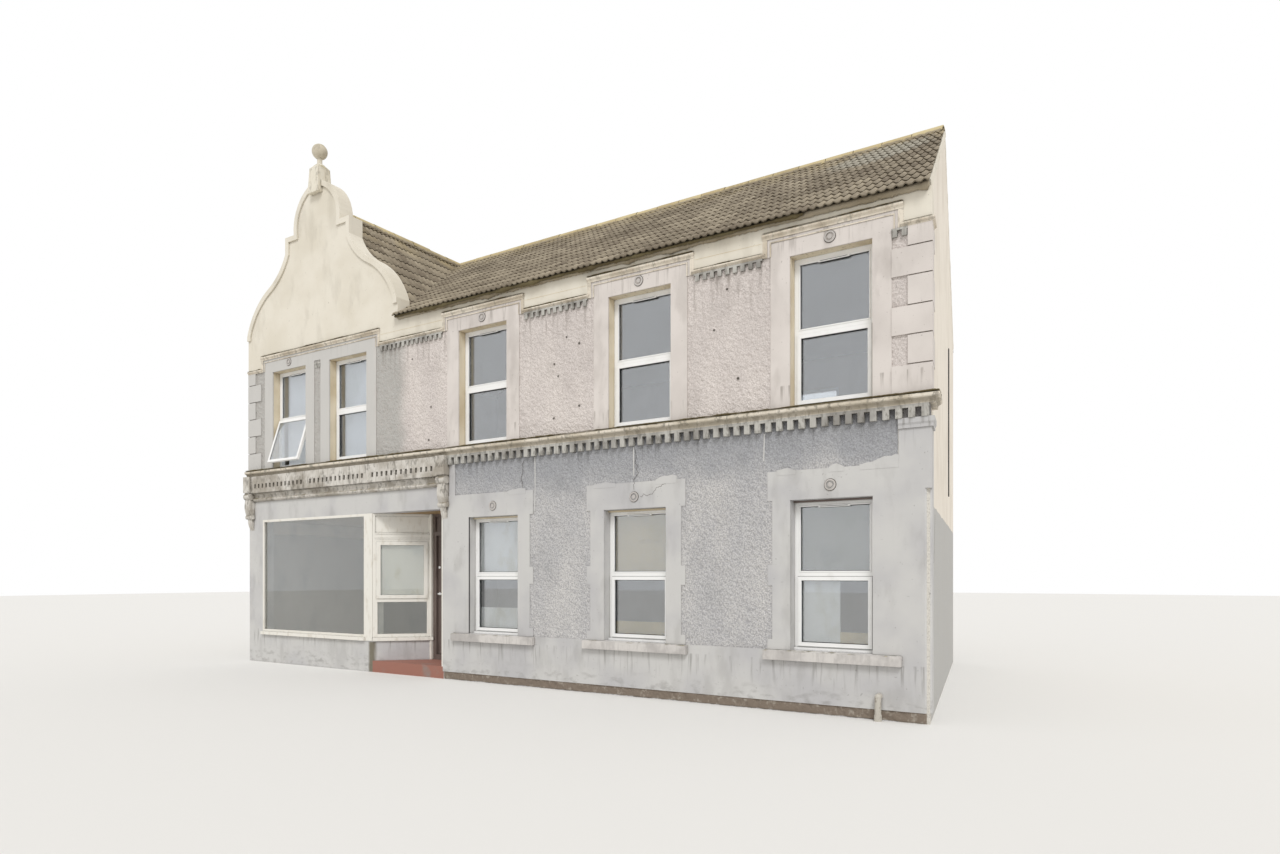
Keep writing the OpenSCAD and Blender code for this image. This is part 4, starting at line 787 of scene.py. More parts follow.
for side, name, seed, slab in ((-1, "street_roof_tiles", 11, "roof_front_slope"),
                               (1, "rear_roof_tiles", 12, "roof_back_slope")):
    verge = plane((VERGE_MID, 0), (EAVES, VERGE_LEAN))
    valley = plane((RIDGE_X - UNDER, 0), (-EAVES, side * (LEAN + UNDER)))
    slope_tiles(name, (0, side), (EAVES, MAIN_FALL), EAVES + OVERHANG,
                ((RIDGE_X, 0), (front_high.x + 0.1, 0)), [verge, valley], seed, slab)
for side, name, seed, slab in ((-1, "cross_tiles_street", 14, "cross_roof_right"),
                               (1, "cross_tiles_rear", 15, None)):
    valley = plane((RIDGE_X + UNDER, 0), (INNER_Y, -side * LEAN))
    slope_tiles(name, (1, 0), (SIDE_RUN, SIDE_FALL), LEAN, ((RIDGE_X, 0), (RIDGE_X, side * INNER_Y)),
                [valley, plane((0, side * INNER_Y), (0, side))], seed, slab)
slope_tiles("cross_tiles_left", (-1, 0), (SIDE_RUN, SIDE_FALL), SIDE_RUN - OVERHANG,
            ((RIDGE_X, -INNER_Y), (RIDGE_X, INNER_Y)),
            [plane((0, side * INNER_Y), (0, side)) for side in (-1, 1)], 13, "cross_roof_left")

# %% [markdown]
# Under the tiles lies roofing felt on boards. It keeps the loft dark, so the underside of the roof
# is a plain dark sheet, cut to each slope inside the walls: a prism whose top follows the slope.

# %% Felt under the tiles
FELT_GAP, FELT_T = 0.012, 0.015        # distance under the battens, and thickness
FELT_IN = 0.3                          # distance that the felt stays inside the side wall's face
LEFT_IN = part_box("left_wall")[1].x


def felt_point(x, y, cross):
    """A point of the felt over (x, y): the ridge less the slope times the distance from the ridge."""
    fall = SIDE_FALL / SIDE_RUN * abs(x - RIDGE_X) if cross else MAIN_FALL / EAVES * abs(y)
    return x, y, RIDGE_Z - FELT_GAP - fall


felt_plans = [([(RIDGE_X, -INNER_Y), (RIDGE_X, INNER_Y), (LEFT_IN, INNER_Y), (LEFT_IN, -INNER_Y)], True)]
for side in (-1, 1):
    y = side * INNER_Y
    main_part = [(RIDGE_X, 0), (VALLEY_X, y), (verge_x(y) - FELT_IN, y), (verge_x(0) - FELT_IN, 0)]
    felt_plans += [(main_part, False), ([(RIDGE_X, 0), (RIDGE_X, y), (VALLEY_X, y)], True)]
felt = prisms([[felt_point(x, y, cross) for x, y in plan] for plan, cross in felt_plans], (0, 0, -FELT_T))
piece("roofing_felt", *felt, black_rubber_and_shadow, "roof_tile")
print("felt in", len(felt_plans), "parts")

# %% [markdown]
# Half-round ridge tiles are 450 mm long, and sit on a bed of mortar over the joint of two slopes.
# One tile is a half tube, thick enough to show its edge, and the ridge is that tube copied along a
# line with small seeded errors. Its bed, and the mortar under the tiles along the verge, are tubes
# whose rings a seeded noise has pressed out of shape, as a trowel leaves them.

# %% Ridge tiles and mortar
RIDGE_R = 0.128        # outer radius of a ridge tile
RIDGE_T = 0.016        # its thickness
RIDGE_LEN = 0.45       # its length
RIDGE_GAP = 0.010      # gap between two of them
EAVES_IN = 0.11        # distance of the mortar bed behind the eaves


def soft_walk(rng, count, reach):
    """Noise along a line with a spread of 1: random numbers blurred with a Gaussian reach steps wide."""
    k = np.arange(-3 * reach, 3 * reach + 1)
    walk = np.convolve(rng.normal(size=count + k.size - 1), np.exp(-0.5 * (k / reach) ** 2), "valid")
    return walk / walk.std()


def half_tube(length, n=15):
    """A half tube along Y: at angle a from upright, its skins are at (r sin a, y, r cos a). Each
    skin has n points."""
    a = np.radians(np.linspace(-84, 84, n))
    around = np.concatenate([a, a[::-1]])
    r = np.repeat([RIDGE_R, RIDGE_R - RIDGE_T], n)
    ring = np.stack([r * np.sin(around), np.zeros(2 * n), r * np.cos(around)], -1)
    points = np.concatenate([ring, ring + [0, length, 0]])
    i, k = np.arange(2 * n), np.arange(n - 1)
    turn = (i + 1) % (2 * n)
    walls = np.stack([i, turn, turn + 2 * n, i + 2 * n], -1)
    rim = np.stack([k, k + 1, 2 * n - 2 - k, 2 * n - 1 - k], -1)
    return points, np.concatenate([walls, rim[:, ::-1], rim + 2 * n])


def ridge_run(name, start, end, seed):
    """Ridge tiles from start to end, all of one length near RIDGE_LEN, over a lumpy bed."""
    rng = np.random.default_rng(seed)
    start, end = np.array(start, float), np.array(end, float)
    total = np.linalg.norm(end - start)
    count = round(total / RIDGE_LEN)
    pitch = total / count
    along = (end - start) / total
    basis = np.array([np.cross(along, [0, 0, 1]), along, [0, 0, 1]])
    shell, faces = half_tube(pitch - RIDGE_GAP)
    place = np.stack([np.zeros(count), np.arange(count) * pitch + RIDGE_GAP / 2, np.zeros(count)], -1)
    place += rng.normal(0, 1, (count, 3)) * [0.002, 0, 0.003]
    points, all_faces = repeat(shell, faces, place)
    tiles = piece(name, points @ basis + start, all_faces, ridge_paint, "ridge_tile")
    keep_values(tiles, "tone", np.repeat(rng.uniform(0.1, 1, count), len(shell)))
    y, a = np.meshgrid(np.arange(0.01, total, 0.06), np.radians(np.linspace(-100, 100, 17)), indexing="ij")
    low_edge = np.abs(a) > 1.25
    r = RIDGE_R - RIDGE_T - 0.002 + low_edge * (0.022 + rng.normal(0, 0.005, y.shape))
    bed = np.stack([r * np.sin(a), y, r * np.cos(a)], -1) @ basis + start
    tubes(name + "_bed", [bed], slab_edge, "ridge_tile")
    print(name, count, "tiles of %.0f mm" % (pitch * 1000))
    return tiles


def verge_mortar(name, side, seed):
    """Mortar between the wall's head and the tiles, 8 mm proud, with a ragged lower edge."""
    rng = np.random.default_rng(seed)
    across, down, up, pitch = slope_axes((0, side, 0), EAVES, MAIN_FALL)
    far = np.arange(0.12, (EAVES - EAVES_IN) / math.cos(pitch), 0.07)
    y = side * far * math.cos(pitch)
    edge = np.stack([verge_x(y), y, RIDGE_Z - far * math.sin(pitch)], -1)
    out = np.array([EAVES, VERGE_LEAN, 0]) / math.hypot(EAVES, VERGE_LEAN)
    low = -0.085 + rng.normal(0, 0.006, far.size)
    high = 0.014 + rng.normal(0, 0.003, far.size)
    proud = 0.006 + rng.uniform(0, 0.005, far.size)
    back = np.full(far.size, -0.03)
    corners = [(back, low), (proud, low + 0.008), (proud, high - 0.01), (back, high)]
    rings = [edge + np.multiply.outer(o, out) + np.multiply.outer(h, up) for o, h in corners]
    return tubes(name, [np.stack(rings, 1)], cream, "cream_render", smooth=False)


def cushions(runs, deep, high, seed, least):
    """Skins of lumpy rolls along straight ledges, each run (start, end, out). A ring of 8 points has
    half sizes deep along out and high, times a blurred noise that stays above least."""
    rng = np.random.default_rng(seed)
    a = np.linspace(0, 2 * math.pi, 9)[:-1]
    skins = []
    for start, end, out in runs:
        start, end, out = (np.array(v, float) for v in (start, end, out))
        count = max(int(np.linalg.norm(end - start) / 0.022), 3)
        line = start + np.linspace(0, 1, count)[:, None] * (end - start)
        size = np.clip(0.75 + 0.3 * soft_walk(rng, count, 5) + 0.15 * soft_walk(rng, count, 1), least, 1.4)
        size[[0, -1]] *= 0.3
        round_by = rng.uniform(0.8, 1.1, (count, 8)) * size[:, None]
        side = np.multiply.outer(deep * round_by * np.cos(a), out)
        lift = np.multiply.outer(high * round_by * np.sin(a), [0, 0, 1])
        skins.append(line[:, None] + side + lift)
    return skins


def eaves_filling(name, side, seed):
    """Mortar and moss between the wall's head and the noses of the lowest course."""
    foot = RIDGE_Z - MAIN_FALL
    y = side * (EAVES - EAVES_IN)
    left, right = VALLEY_X + 0.01, verge_x(side * EAVES) - 0.02
    bed = [((left, y, foot + 0.042), (right, y, foot + 0.042), (0, side, 0))]
    tubes(name + "_mortar", cushions(bed, 0.042, 0.055, seed, 0.9), slab_edge, "roof_tile")
    y += side * 0.058
    moss = [((left, y, foot + 0.030), (right - 1.4, y, foot + 0.030), (0, side, 0))]
    tubes(name + "_moss", cushions(moss, 0.024, 0.036, seed + 1, 0.6), moss_green, "roof_tile")


eaves_filling("street_eaves", -1, 51)
eaves_filling("rear_eaves", 1, 53)
ridge_up = SLAB_TOP + 0.025 - RIDGE_R
main_ridge = ridge_run("main_ridge_tiles", (RIDGE_X + 0.1, 0, ridge_up), (VERGE_MID - 0.005, 0, ridge_up), 21)
ridge_run("cross_ridge_tiles", (RIDGE_X, 0.01 - INNER_Y, ridge_up), (RIDGE_X, INNER_Y - 0.01, ridge_up), 22)
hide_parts("ridge_tiles")
verge_mortar("street_verge_mortar", -1, 23)
verge_mortar("rear_verge_mortar", 1, 24)

# %% [markdown]
# Thrown mortar stands 4 to 14 mm off the wall in soft lumps. The relief is a height for every point
# of a fine grid: white noise, smoothed at three sizes with a Gaussian in the frequency domain, and
# added up. It lies behind the smooth surrounds, which stand 20 mm proud, so its cut edges at the
# windows never show. The rubble that shows under the plinth is the same thing in coarser lumps.

# %% Roughcast and rubble relief
FACE_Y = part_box("upper_front_wall")[0].y
HALF_W = 0.49          # half the width of a window
FRAME_Y = FACE_Y + 0.125
CELL = 0.0125          # distance between the points of the grid
MEAN_OUT = 0.0085      # mean height of the relief
LEAST_OUT, MOST_OUT = 0.002, 0.0165
RIM_IN = 0.004         # depth that the rim of the sheet is turned back to
CLEAR = 0.65           # half width that the relief leaves free at a window


def smooth_noise(rng, shape, size):
    """White noise times a Gaussian of its frequencies, scaled to a spread of 1. size is in cells."""
    fx = np.fft.fftfreq(shape[0])[:, None]
    fz = np.fft.fftfreq(shape[1])[None]
    kept = np.exp(-2 * (math.pi * size) ** 2 * (fx ** 2 + fz ** 2))
    wave = np.fft.ifft2(np.fft.fft2(rng.normal(size=shape)) * kept).real
    return wave / wave.std()


def relief_sheet(name, x0, x1, z0, z1, waves, openings, material, slot, seed):
    """A relief in front of the street face. waves lists (size in cells, spread in metres). Cells inside
    an opening (x0, x1, z0, z1) are left out, and the rim is turned back into the wall."""
    rng = np.random.default_rng(seed)
    nx, nz = int((x1 - x0) / CELL), int((z1 - z0) / CELL) + 1
    x, z = np.meshgrid(np.linspace(x0, x1, nx), np.linspace(z0, z1, nz), indexing="ij")
    lumps = sum(spread * smooth_noise(rng, x.shape, size) for size, spread in waves)
    relief = np.clip(MEAN_OUT + lumps, LEAST_OUT, MOST_OUT)
    rim = (x == x0) | (x == x1) | (z == z0) | (z == z1)
    points = np.stack([x, FACE_Y - np.where(rim, -RIM_IN, relief), z], -1).reshape(-1, 3)
    faces = sheet_faces(nx, nz)[:, ::-1]
    mid_x, _, mid_z = points[faces].mean(1).T
    gone = np.zeros(len(faces), bool)
    for left, right, low, high in openings:
        gone |= (mid_x > left) & (mid_x < right) & (mid_z > low) & (mid_z < high)
    used, numbers = np.unique(faces[~gone], return_inverse=True)
    print(name, 2 * int((~gone).sum()), "triangles")
    return piece(name, points[used], numbers.reshape(-1, 4), material, slot, closed=False)


def window_middles(node):
    """Middles of a node's windows: pairs of its X values that lie exactly one window apart."""
    mesh = nodes[node].data
    co = np.empty(len(mesh.vertices) * 3)
    mesh.vertices.foreach_get("co", co)
    xs = np.unique(co[::3].round(3))
    pairs = xs[None] - xs[:, None] - 2 * HALF_W
    left = xs[np.argwhere(np.abs(pairs) < 0.0015)[:, 0]] + HALF_W
    return [float(x) for k, x in enumerate(left) if k == 0 or x - left[k - 1] > 0.5]


low_windows, high_windows = window_middles("ground_window_frames"), window_middles("upper_window_frames")
low_z = [corner.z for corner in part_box("ground_window_frames")]
high_z = [corner.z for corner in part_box("upper_window_frames")]
print("windows below", low_windows, "and above", high_windows)

plinth_left, plinth_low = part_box("plinth")[0].x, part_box("plinth")[0].z
pilaster_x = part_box("corner_pilaster")[0].x
wall_left, wall_right = (corner.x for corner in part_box("upper_front_wall"))
behind_low = [(x - CLEAR, x + CLEAR, low_z[0] - 0.1, low_z[1] + 0.2) for x in low_windows]
behind_high = [(x - CLEAR, x + CLEAR, high_z[0] - 0.1, label_low + 0.1) for x in high_windows]
thrown = [(0.7, 0.0024), (1.6, 0.0018), (7, 0.0012)]
relief_sheet("lower_roughcast_relief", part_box("ground_surrounds")[0].x - 0.02, pilaster_x + 0.02,
             low_z[0] - 0.02, string_low + 0.15, thrown, behind_low, lower_cast, "lower_roughcast", 31)
relief_sheet("upper_roughcast_relief", wall_left + 0.03, wall_right - 0.04, string_top - 0.02,
             label_low + 0.02, thrown, behind_high, upper_cast, "upper_roughcast", 32)
relief_sheet("rubble_foot_relief", plinth_left + 0.01, wall_right - 0.03, 0.002, plinth_low + 0.01,
             [(2.2, 0.004), (0.7, 0.0015)], [], rubble, "lower_roughcast", 33)

# %% [markdown]
# Close to, a plastic window is more than a white frame: a black rubber gasket holds each pane and a
# trickle vent runs along the head. The wall's reveal beside it is smooth, painted by hand, and old
# timber or mortar packs the gap over the head. These are thin straight pieces, so they are boxes.

# %% Window trim
FRAME_W, BAR_W, SASH_W, BEAD_W = 0.058, 0.064, 0.032, 0.018
PANE_HALF = HALF_W - FRAME_W           # half the width between the stiles of a frame
GAP_OUT = 0.018                        # the opening sash and its shadow lap this far over the frame
PANE_Y = FRAME_Y + 0.023
GASKET = (PANE_Y - 0.006, PANE_Y + 0.001, 0.006)       # front, back and width
REVEAL_Y = FACE_Y + 0.001
SKIN = 0.004                           # thickness of the paint on a reveal


def boxes(name, pairs, material, slot, bevel=0.0):
    """Many boxes as one piece, each given as (low corner, high corner), with edges eased if bevel is given.
    """
    points, faces = cuboids([low for low, high in pairs], [high for low, high in pairs])
    thing = piece(name, points, faces, material, slot)
    if bevel:
        eased = thing.modifiers.new("eased_edges", "BEVEL")
        eased.width = bevel
        eased.segments = 1
        eased.limit_method = "NONE"
    return thing


def block(x, left, right, y0, y1, z0, z1):
    """The low and high corners of a box from x + left to x + right."""
    return (x + left, y0, z0), (x + right, y1, z1)


def ring(x, half, z0, z1, y0, y1, w):
    """Four boxes round the inside of a rectangle that reaches half to each side of x, each w wide."""
    return [block(x, -half, half, y0, y1, z0, z0 + w), block(x, -half, half, y0, y1, z1 - w, z1),
            block(x, -half, w - half, y0, y1, z0 + w, z1 - w),
            block(x, half - w, half, y0, y1, z0 + w, z1 - w)]


gaskets, beads, gaps, vents, low_reveals, high_reveals = [], [], [], [], [], []
for xs, (z0, z1), reveals in ((low_windows, low_z, low_reveals), (high_windows, high_z, high_reveals)):
    bar_low, bar_high = (z0 + z1 - BAR_W) / 2, (z0 + z1 + BAR_W) / 2
    foot, head = z0 + FRAME_W, z1 - FRAME_W
    for x in xs:
        beads += ring(x, PANE_HALF, bar_high, head, FRAME_Y - 0.006, PANE_Y + 0.001, BEAD_W)
        gaskets += ring(x, PANE_HALF - BEAD_W, bar_high + BEAD_W, head - BEAD_W, *GASKET)
        if x != high_windows[0]:
            gaskets += ring(x, PANE_HALF - SASH_W, foot + SASH_W, bar_low - SASH_W, *GASKET)
            # A ring of painted shadow in the gap round each closed sash
            gaps += ring(x, PANE_HALF + GAP_OUT, foot - GAP_OUT, bar_low + GAP_OUT,
                         FRAME_Y - 0.0015, FRAME_Y + 0.001, 0.005)
        # A strip of painted shade in the slot of the trickle vent
        gaps.append(block(x, -0.165, 0.165, FRAME_Y - 0.0165, FRAME_Y - 0.0120, z1 - 0.080, z1 - 0.075))
        vents.append(block(x, -0.19, 0.19, FRAME_Y - 0.015, FRAME_Y + 0.002, z1 - 0.090, z1 - 0.062))
        reveals += [block(x, -HALF_W, SKIN - HALF_W, REVEAL_Y, FRAME_Y, z0, z1),
                    block(x, HALF_W - SKIN, HALF_W, REVEAL_Y, FRAME_Y, z0, z1),
                    block(x, -HALF_W, HALF_W, REVEAL_Y, FRAME_Y, z1 - SKIN, z1)]
boxes("glazing_gaskets", gaskets, black_rubber_and_shadow, "black_gutter")
boxes("glazing_beads", beads, white_pvc, "white_frame", 0.004)
boxes("sash_shadow_gaps", gaps, black_rubber_and_shadow, "black_gutter")
boxes("trickle_vents", vents, white_pvc, "white_frame", 0.003)
boxes("ground_reveals", low_reveals, grey_smooth, "moulded_render")
boxes("upper_reveals", high_reveals, old_cream, "cream_render")
packing = [block(x, SKIN - HALF_W, HALF_W - SKIN, FRAME_Y - 0.05, FRAME_Y + 0.002,
                 low_z[1] - 0.026, low_z[1] - SKIN) for x in low_windows]
boxes("head_packing", packing[:-1], old_cream, "cream_render", 0.004)
boxes("bare_lintel_edge", packing[-1:], brown_stain, "brown_timber", 0.004)
surround_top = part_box("ground_surrounds")[1].z
infill_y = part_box("ground_surrounds")[0].y + 0.0005
infills = [((left, infill_y, low_z[0]), (right, REVEAL_Y, surround_top))
           for left, right in ((plinth_left, low_windows[0] - HALF_W), (low_windows[2] + HALF_W, pilaster_x))]
boxes("smooth_infill_beside_surrounds", infills, grey_smooth, "moulded_render")
print("bead boxes %d, gasket boxes %d, vents %d" % (len(beads), len(gaskets), len(vents)))

# %% [markdown]
# The rooms are empty, but sheets of board are fixed behind some of the panes, curtains hang in two
# windows, and paper is stuck to the back of the screen's casement.

# %% Boards behind the glass
BEHIND = FRAME_Y + 0.070
CURTAIN_Y = BEHIND + 0.075
low_mid = sum(low_z) / 2


def board(window, left, right, low, high):
    """A board 6 mm thick behind a lower window, from left to right of its middle."""
    return block(low_windows[window], left, right, BEHIND, BEHIND + 0.006, low, high)


upper_pane = (low_mid + 0.02, low_z[1] - 0.05)
foot = low_z[0] + 0.05
white_boards = [board(0, -0.43, 0.43, *upper_pane), board(0, -0.43, 0.43, foot, low_z[0] + 0.40),
                board(2, -0.43, 0.05, foot, low_mid - 0.06)]
wood_boards = [board(1, -0.43, 0.43, *upper_pane), board(1, -0.43, 0.43, foot, low_z[0] + 0.26),
               board(2, 0.05, 0.43, foot, low_z[0] + 0.22)]
curtains = [block(x, -0.42, 0.47, CURTAIN_Y, CURTAIN_Y + 0.004, high_z[0] + 0.05, high_z[1] - 0.03)
            for x in high_windows[:2]]
boxes("white_boards_behind_panes", white_boards, blind_board, "white_timber")
boxes("ply_boards_behind_panes", wood_boards, ply_board, "floor_boards")
boxes("olive_paper_behind_pane", [board(2, -0.43, 0.43, *upper_pane)], olive_board, "white_timber")
boxes("net_curtains", curtains, white_curtain, "white_timber")

SCREEN_START = np.array([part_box("stall_riser")[1].x - 0.655, FACE_Y, 0])
half_root = math.sqrt(0.5)
eighth_turn = np.array([[half_root, half_root, 0], [-half_root, half_root, 0], [0, 0, 1]])
paper_points, paper_faces = cuboids([(0.135, 0.053, 1.30)], [(0.825, 0.056, 2.13)])
piece("paper_on_casement", paper_points @ eighth_turn + SCREEN_START, paper_faces, blind_board,
      "white_timber")
print("boards %d, curtains %d" % (len(white_boards) + len(wood_boards) + 1, len(curtains)))

# %% [markdown]
# Fine things on the front: beads under the cornice slab, the scored line of the frieze, a ring cut
# round each plaque, small holes where fixings were pulled out, and cracks in the paint. A crack is a
# thin dark ribbon along a path whose points are moved by seeded steps.

# %% Beads, scored lines, holes and cracks
# How far thin things stand out of the street face: just proud of roughcast, surround or frieze
HOLE_OUT, RUN_OUT, CRACK_OUT, PLATE_OUT, SCORE_OUT = 0.0168, 0.0172, 0.0215, 0.0225, 0.0255
BEAD_STEP, BEAD_SIZE = 0.034, (0.017, 0.020, 0.022)
PLAQUE_R, DIRT_RING_R = 0.066, 0.069
LOW_H = 0.06           # height of the label moulding where it runs low between two windows


def ribbons(name, paths, width, y, material, slot, along=(1, 0, 0), origin=(0, 0, 0)):
    """Flat ribbons over paths of (distance along, z) points: two rows of points width apart, and their
    back 3 mm behind. The plane is at y across the street, or runs from origin along a direction."""
    along = np.array(along, float)
    back = np.array([-along[1], along[0], 0]) * 0.003
    box = np.array([[0, 1, 2, 3], [7, 6, 5, 4], [0, 4, 5, 1], [1, 5, 6, 2], [2, 6, 7, 3], [3, 7, 4, 0]])
    points = []
    for path in paths:
        path = np.asarray(path, float)
        step = np.gradient(path, axis=0)
        step /= np.linalg.norm(step, axis=1, keepdims=True)
        side = np.stack([-step[:, 1], step[:, 0]], -1) * width / 2
        low, high = path - side, path + side
        quads = np.stack([low[:-1], low[1:], high[1:], high[:-1]], 1)
        front = quads[..., :1] * along + quads[..., 1:] * [0, 0, 1] + np.array(origin) + [0, y, 0]
        points.append(np.concatenate([front, front + back], 1))
    points = np.concatenate(points)
    faces = np.arange(len(points))[:, None, None] * 8 + box
    return piece(name, points, faces.reshape(-1, 4), material, slot)


def crack(start, end, seed, count=24, stray=0.016):
    """A path from start to end whose inner points stray by a random walk that ends at zero."""
    rng = np.random.default_rng(seed)
    walk = np.cumsum(rng.normal(0, stray, count))
    share = np.linspace(0, 1, count)
    walk -= walk[0] * (1 - share) + walk[-1] * share
    along = np.array(end) - np.array(start)
    path = np.array(start) + share[:, None] * along
    return path + walk[:, None] * np.array([-along[1], along[0]]) / np.linalg.norm(along)


def circle(x, z, r, points):
    """A closed path round (x, z)."""
    return [(x + r * math.cos(a), z + r * math.sin(a)) for a in np.linspace(0, 2 * math.pi, points)]


cornice_low, cornice_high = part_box("shop_cornice")
bead_y, bead_z = FACE_Y - 0.075, cornice_high.z - 0.31
cornice_beads = [((x, bead_y, bead_z - BEAD_SIZE[2]), (x + BEAD_SIZE[0], bead_y + BEAD_SIZE[1], bead_z))
                 for x in np.arange(cornice_low.x + 0.03, cornice_high.x - 0.03, BEAD_STEP)]
boxes("cornice_beads", cornice_beads, cornice_paint, "moulded_render")

plaque_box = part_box("round_plaques")
low_plaque_z, high_plaque_z = plaque_box[0].z + PLAQUE_R, plaque_box[1].z - PLAQUE_R
centres = [(x, low_plaque_z) for x in low_windows]
centres += [(x, high_plaque_z) for k, x in enumerate(high_windows) if k != 1]
ribbons("plaque_dirt_rings", [circle(x, z, DIRT_RING_R, 25) for x, z in centres], 0.007,
        FACE_Y - PLATE_OUT, soot, "moulded_render")

frieze_z = (label_low + LOW_H + front_low.z) / 2
scores = [[(a + 0.36 + HALF_W, frieze_z), (b - 0.36 - HALF_W, frieze_z)]
          for a, b in zip(high_windows[1:-1], high_windows[2:])]
ribbons("frieze_scores", scores, 0.006, FACE_Y - SCORE_OUT, old_cream, "cream_render")

first, second, third = low_windows
low_cracks = [crack((second, low_plaque_z + 0.09), (second + 0.02, string_low - 0.05), 41),
              crack((second + 0.1, low_plaque_z), (second + 0.52, low_z[1] + 0.33), 42),
              crack((first + 0.55, low_z[1] + 0.3), (first + 0.60, string_low - 0.05), 43)]
ribbons("cracks_in_lower_wall", low_cracks, 0.004, FACE_Y - CRACK_OUT, soot, "moulded_render")

# Fixing holes: (distance from the pier's middle, height), with three sizes in turn
marks = [(0.20, 4.98), (0.42, 4.86), (-0.02, 4.63), (0.05, 4.45), (0.42, 3.99), (-0.03, 3.86),
         (-2.93, 5.12), (-2.55, 3.78), (-2.50, 4.30), (2.52, 4.70), (2.85, 4.05), (2.70, 5.18)]
pier = (high_windows[2] + high_windows[3]) / 2
holes = [circle(pier + dx, z, r, 7) for (dx, z), r in zip(marks, [0.006, 0.010, 0.008] * 4)]
ribbons("pulled_fixing_holes", holes, 0.016, FACE_Y - HOLE_OUT, soot, "moulded_render")

run_top = string_low - 0.01
runs = [[(0.775, run_top), (0.78, 2.9), (0.77, 2.55)], [(2.47, run_top), (2.475, low_plaque_z + 0.28)],
        [(4.35, run_top), (4.34, 3.0)]]
ribbons("pale_paint_runs", runs, 0.016, FACE_Y - RUN_OUT, pale_run, "lower_roughcast")
print("cornice beads %d, rings %d, holes %d" % (len(cornice_beads), len(centres), len(holes)))

# %% [markdown]
# Render is patched by hand, so the heads of the lower surrounds have ragged outlines: thin plates of
# mortar that lap over the roughcast. Moss grows in cushions on every ledge that holds water, and from
# the street it draws a dark line along the top of each moulding. The side wall has one long crack,
# and a cable clipped to it.

# %% Patches, moss on ledges and the side wall
LABEL_REACH = HALF_W + 0.345           # half the width of a label moulding over a window
LABEL_OUT = 0.049                      # distance that it stands out of the wall
SIDE_SLOPE = 0.158384                  # metres that the side wall moves to the left per metre of depth
CABLE_R, CABLE_ALONG = 0.009, 4.7      # radius, and distance from the corner along the wall
CABLE_FOOT, CABLE_TOP = 2.9, 5.3


def patch(x0, x1, rises, seed):
    """An outline from x0 to x1, from 50 mm below the surrounds' heads to ragged rises above them."""
    rng = np.random.default_rng(seed)
    count = max(int((x1 - x0) / 0.035), 4)
    x = np.linspace(x1, x0, count)
    tops = surround_top + np.array(rises)
    z = np.interp(x, np.linspace(x0, x1, len(tops)), tops) + rng.normal(0, 0.004, count)
    foot = surround_top - 0.05
    outline = [(x0, foot), (x1, foot)] + list(zip(x.tolist(), z.tolist()))
    return [(x, FACE_Y - PLATE_OUT, z) for x, z in outline]


# A line of moss where the top of the string course meets the wall
moss_z = string_top + 0.006
ribbons("dirt_above_string", [[(wall_left + 0.02, moss_z), (pilaster_x, moss_z)]], 0.014, FACE_Y - 0.0015,
        moss_green, "moulded_render")

patches = [patch(third - 0.66, third - 0.42, [0.012, 0.035, 0.03, 0.004], 61),
           patch(third - 0.02, third + 0.16, [0.004, 0.05, 0.045, 0.008], 62),
           patch(third + 0.34, pilaster_x, [0.008, 0.03, 0.085, 0.09], 63),
           patch(second - 0.66, second - 0.30, [0.006, 0.02, 0.022, 0.004], 64),
           patch(second + 0.33, second + 0.655, [0.01, 0.055, 0.06, 0.05], 65),
           patch(first + 0.30, first + 0.64, [0.004, 0.03, 0.04, 0.03], 66)]
piece("ragged_render_patches", *prisms(patches, (0, 0.022, 0)), grey_smooth, "moulded_render")


def street_run(left, right, y, z):
    """A straight ledge along the street, for a run of cushions."""
    return (left, y, z), (right, y, z), (0, -1, 0)


label_y = FACE_Y - LABEL_OUT
label_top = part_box("label_moulding")[1].z
spans = [(high_windows[0] - LABEL_REACH, high_windows[1] + LABEL_REACH)]
spans += [(x - LABEL_REACH, x + LABEL_REACH) for x in high_windows[2:]]
lows = zip([wall_left] + [right for left, right in spans],
           [left for left, right in spans] + [wall_right + 0.04])
label_runs = [street_run(left, right, label_y, label_top - 0.004) for left, right in spans]
label_runs += [street_run(left, right, label_y, label_low + LOW_H - 0.004) for left, right in lows]
tubes("moss_on_labels", cushions(label_runs, 0.010, 0.007, 71, 0.35), moss_green, "moulded_render")

wall_run = np.array([-SIDE_SLOPE, 1, 0]) / math.hypot(1, SIDE_SLOPE)
wall_out = np.array([wall_run[1], -wall_run[0], 0])
string_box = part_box("string_course")
string_y, string_z = string_box[0].y + 0.022, string_top - 0.012
corner = np.array([string_box[1].x - 0.03, string_y, string_z])
string_runs = [street_run(wall_left, corner[0], string_y, string_z),
               (corner, corner + 0.42 * wall_run, wall_out)]
tubes("moss_on_string", cushions(string_runs, 0.020, 0.012, 72, 0.3), moss_green, "moulded_render")

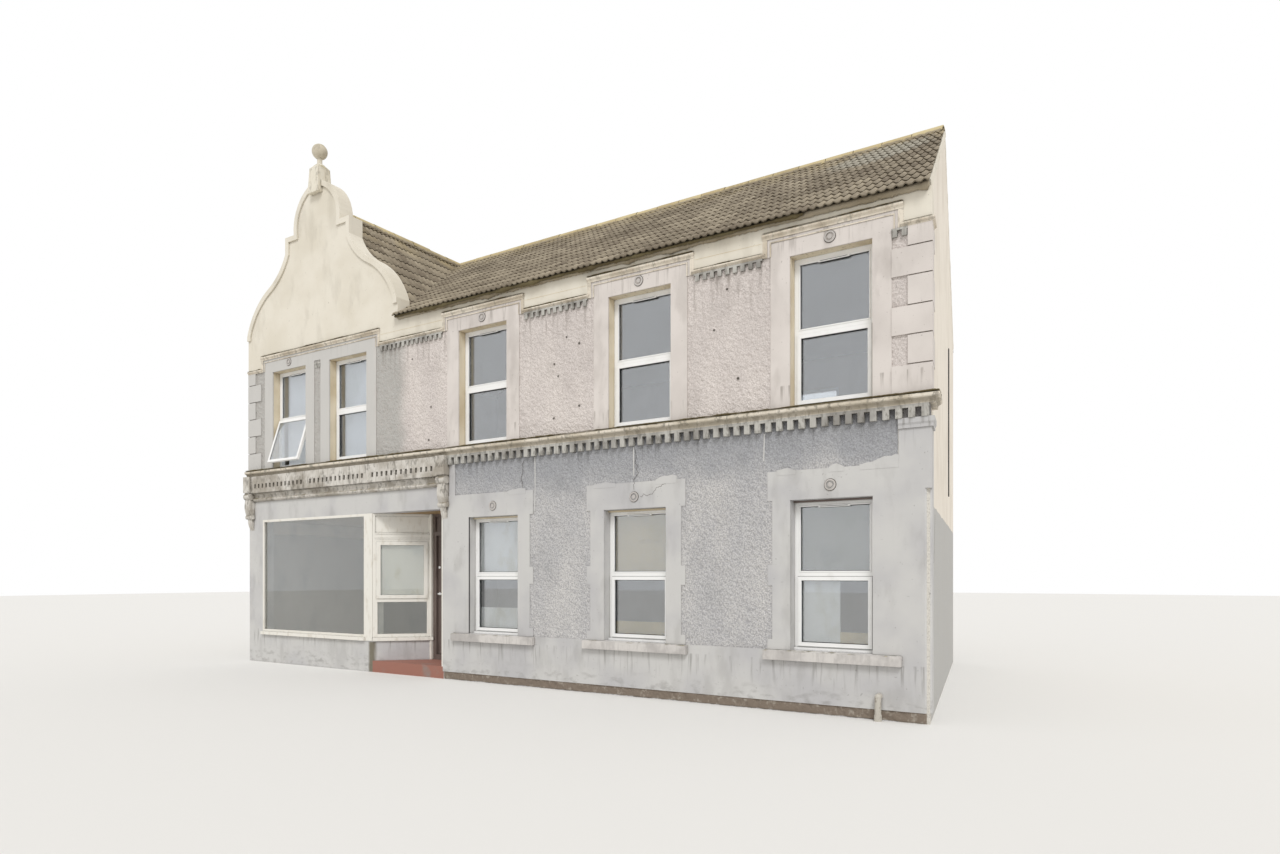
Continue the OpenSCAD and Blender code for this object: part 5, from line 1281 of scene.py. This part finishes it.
face = np.array([wall_right, FACE_Y, 0]) + 0.001 * wall_out
side_cracks = [crack((0.02, 1.42), (0.75, 1.78), 45), crack((0.75, 1.78), (0.95, 2.35), 46)]
ribbons("crack_in_side_wall", side_cracks, 0.009, 0, soot, "moulded_render", wall_run, face)
cable = face + CABLE_ALONG * wall_run + (CABLE_R + 0.001) * wall_out
a = np.linspace(0, 2 * math.pi, 9)[:-1]
loop = CABLE_R * (np.multiply.outer(np.cos(a), wall_out) + np.multiply.outer(np.sin(a), wall_run))
rise = np.linspace(CABLE_FOOT, CABLE_TOP, 9)[:, None, None] * np.array([0, 0, 1])
tubes("cable_on_side_wall", [cable + rise + loop], black_rubber_and_shadow, "black_gutter")
print("patches %d, ledges with moss %d" % (len(patches), len(label_runs) + len(string_runs)))

# %% [markdown]
# The building stands on a plain pale floor under a white studio sky. The sky lights it evenly, and
# one large soft sun from high on the right draws the reliefs. Camera, glossy and transmitted rays
# see the sky as white, so the background stays white whatever the light on the walls is.

# %% Soft light, floor and background
FLOOR = 70.0           # half the width of the studio floor


def soft_sun(name, strength, angle, toward):
    """A sun lamp that shines along toward, with an apparent size of angle degrees for soft shadows."""
    data = bpy.data.lights.new(name, "SUN")
    data.energy = strength
    data.angle = math.radians(angle)
    lamp = bpy.data.objects.new(name, data)
    lamp.rotation_euler = Vector(toward).to_track_quat("-Z", "Y").to_euler()
    bpy.context.scene.collection.objects.link(lamp)


soft_sun("high_soft_sun", 1.5, 22, (-0.50, 0.70, -0.90))

world = bpy.data.worlds.new("studio")
bpy.context.scene.world = world
world.use_nodes = True
tree = world.node_tree
tree.nodes.clear()
rays = add(tree, "LightPath").outputs
mirrored = add(tree, "Math", {0: rays["Is Glossy Ray"], 1: rays["Is Transmission Ray"]}, operation="MAXIMUM")
seen = add(tree, "Math", {0: rays["Is Camera Ray"], 1: mirrored.outputs[0]}, operation="MAXIMUM")
light = add(tree, "Background", Color=linear("#FBF9F5"), Strength=0.78)
white = add(tree, "Background", Color=(1, 1, 1, 1), Strength=1.0)
sky = add(tree, "MixShader", {0: seen.outputs[0], 1: light.outputs[0], 2: white.outputs[0]})
add(tree, "OutputWorld", {"Surface": sky.outputs[0]})

# Matt studio floor: pale grey, as a sheet of paper
floor_paint = Finish("matt_studio_floor", 1.0, None, Base_Color=linear("#E4E3E1")).material
floor_mesh = bpy.data.meshes.new("studio_floor")
floor_mesh.from_pydata([(-FLOOR, -FLOOR, 0), (FLOOR, -FLOOR, 0), (FLOOR, FLOOR, 0), (-FLOOR, FLOOR, 0)],
                       [], [(0, 1, 2, 3)])
floor_mesh.materials.append(floor_paint)
studio_floor = bpy.data.objects.new("studio_floor", floor_mesh)
bpy.context.scene.collection.objects.link(studio_floor)
print("sun, sky and floor are set")
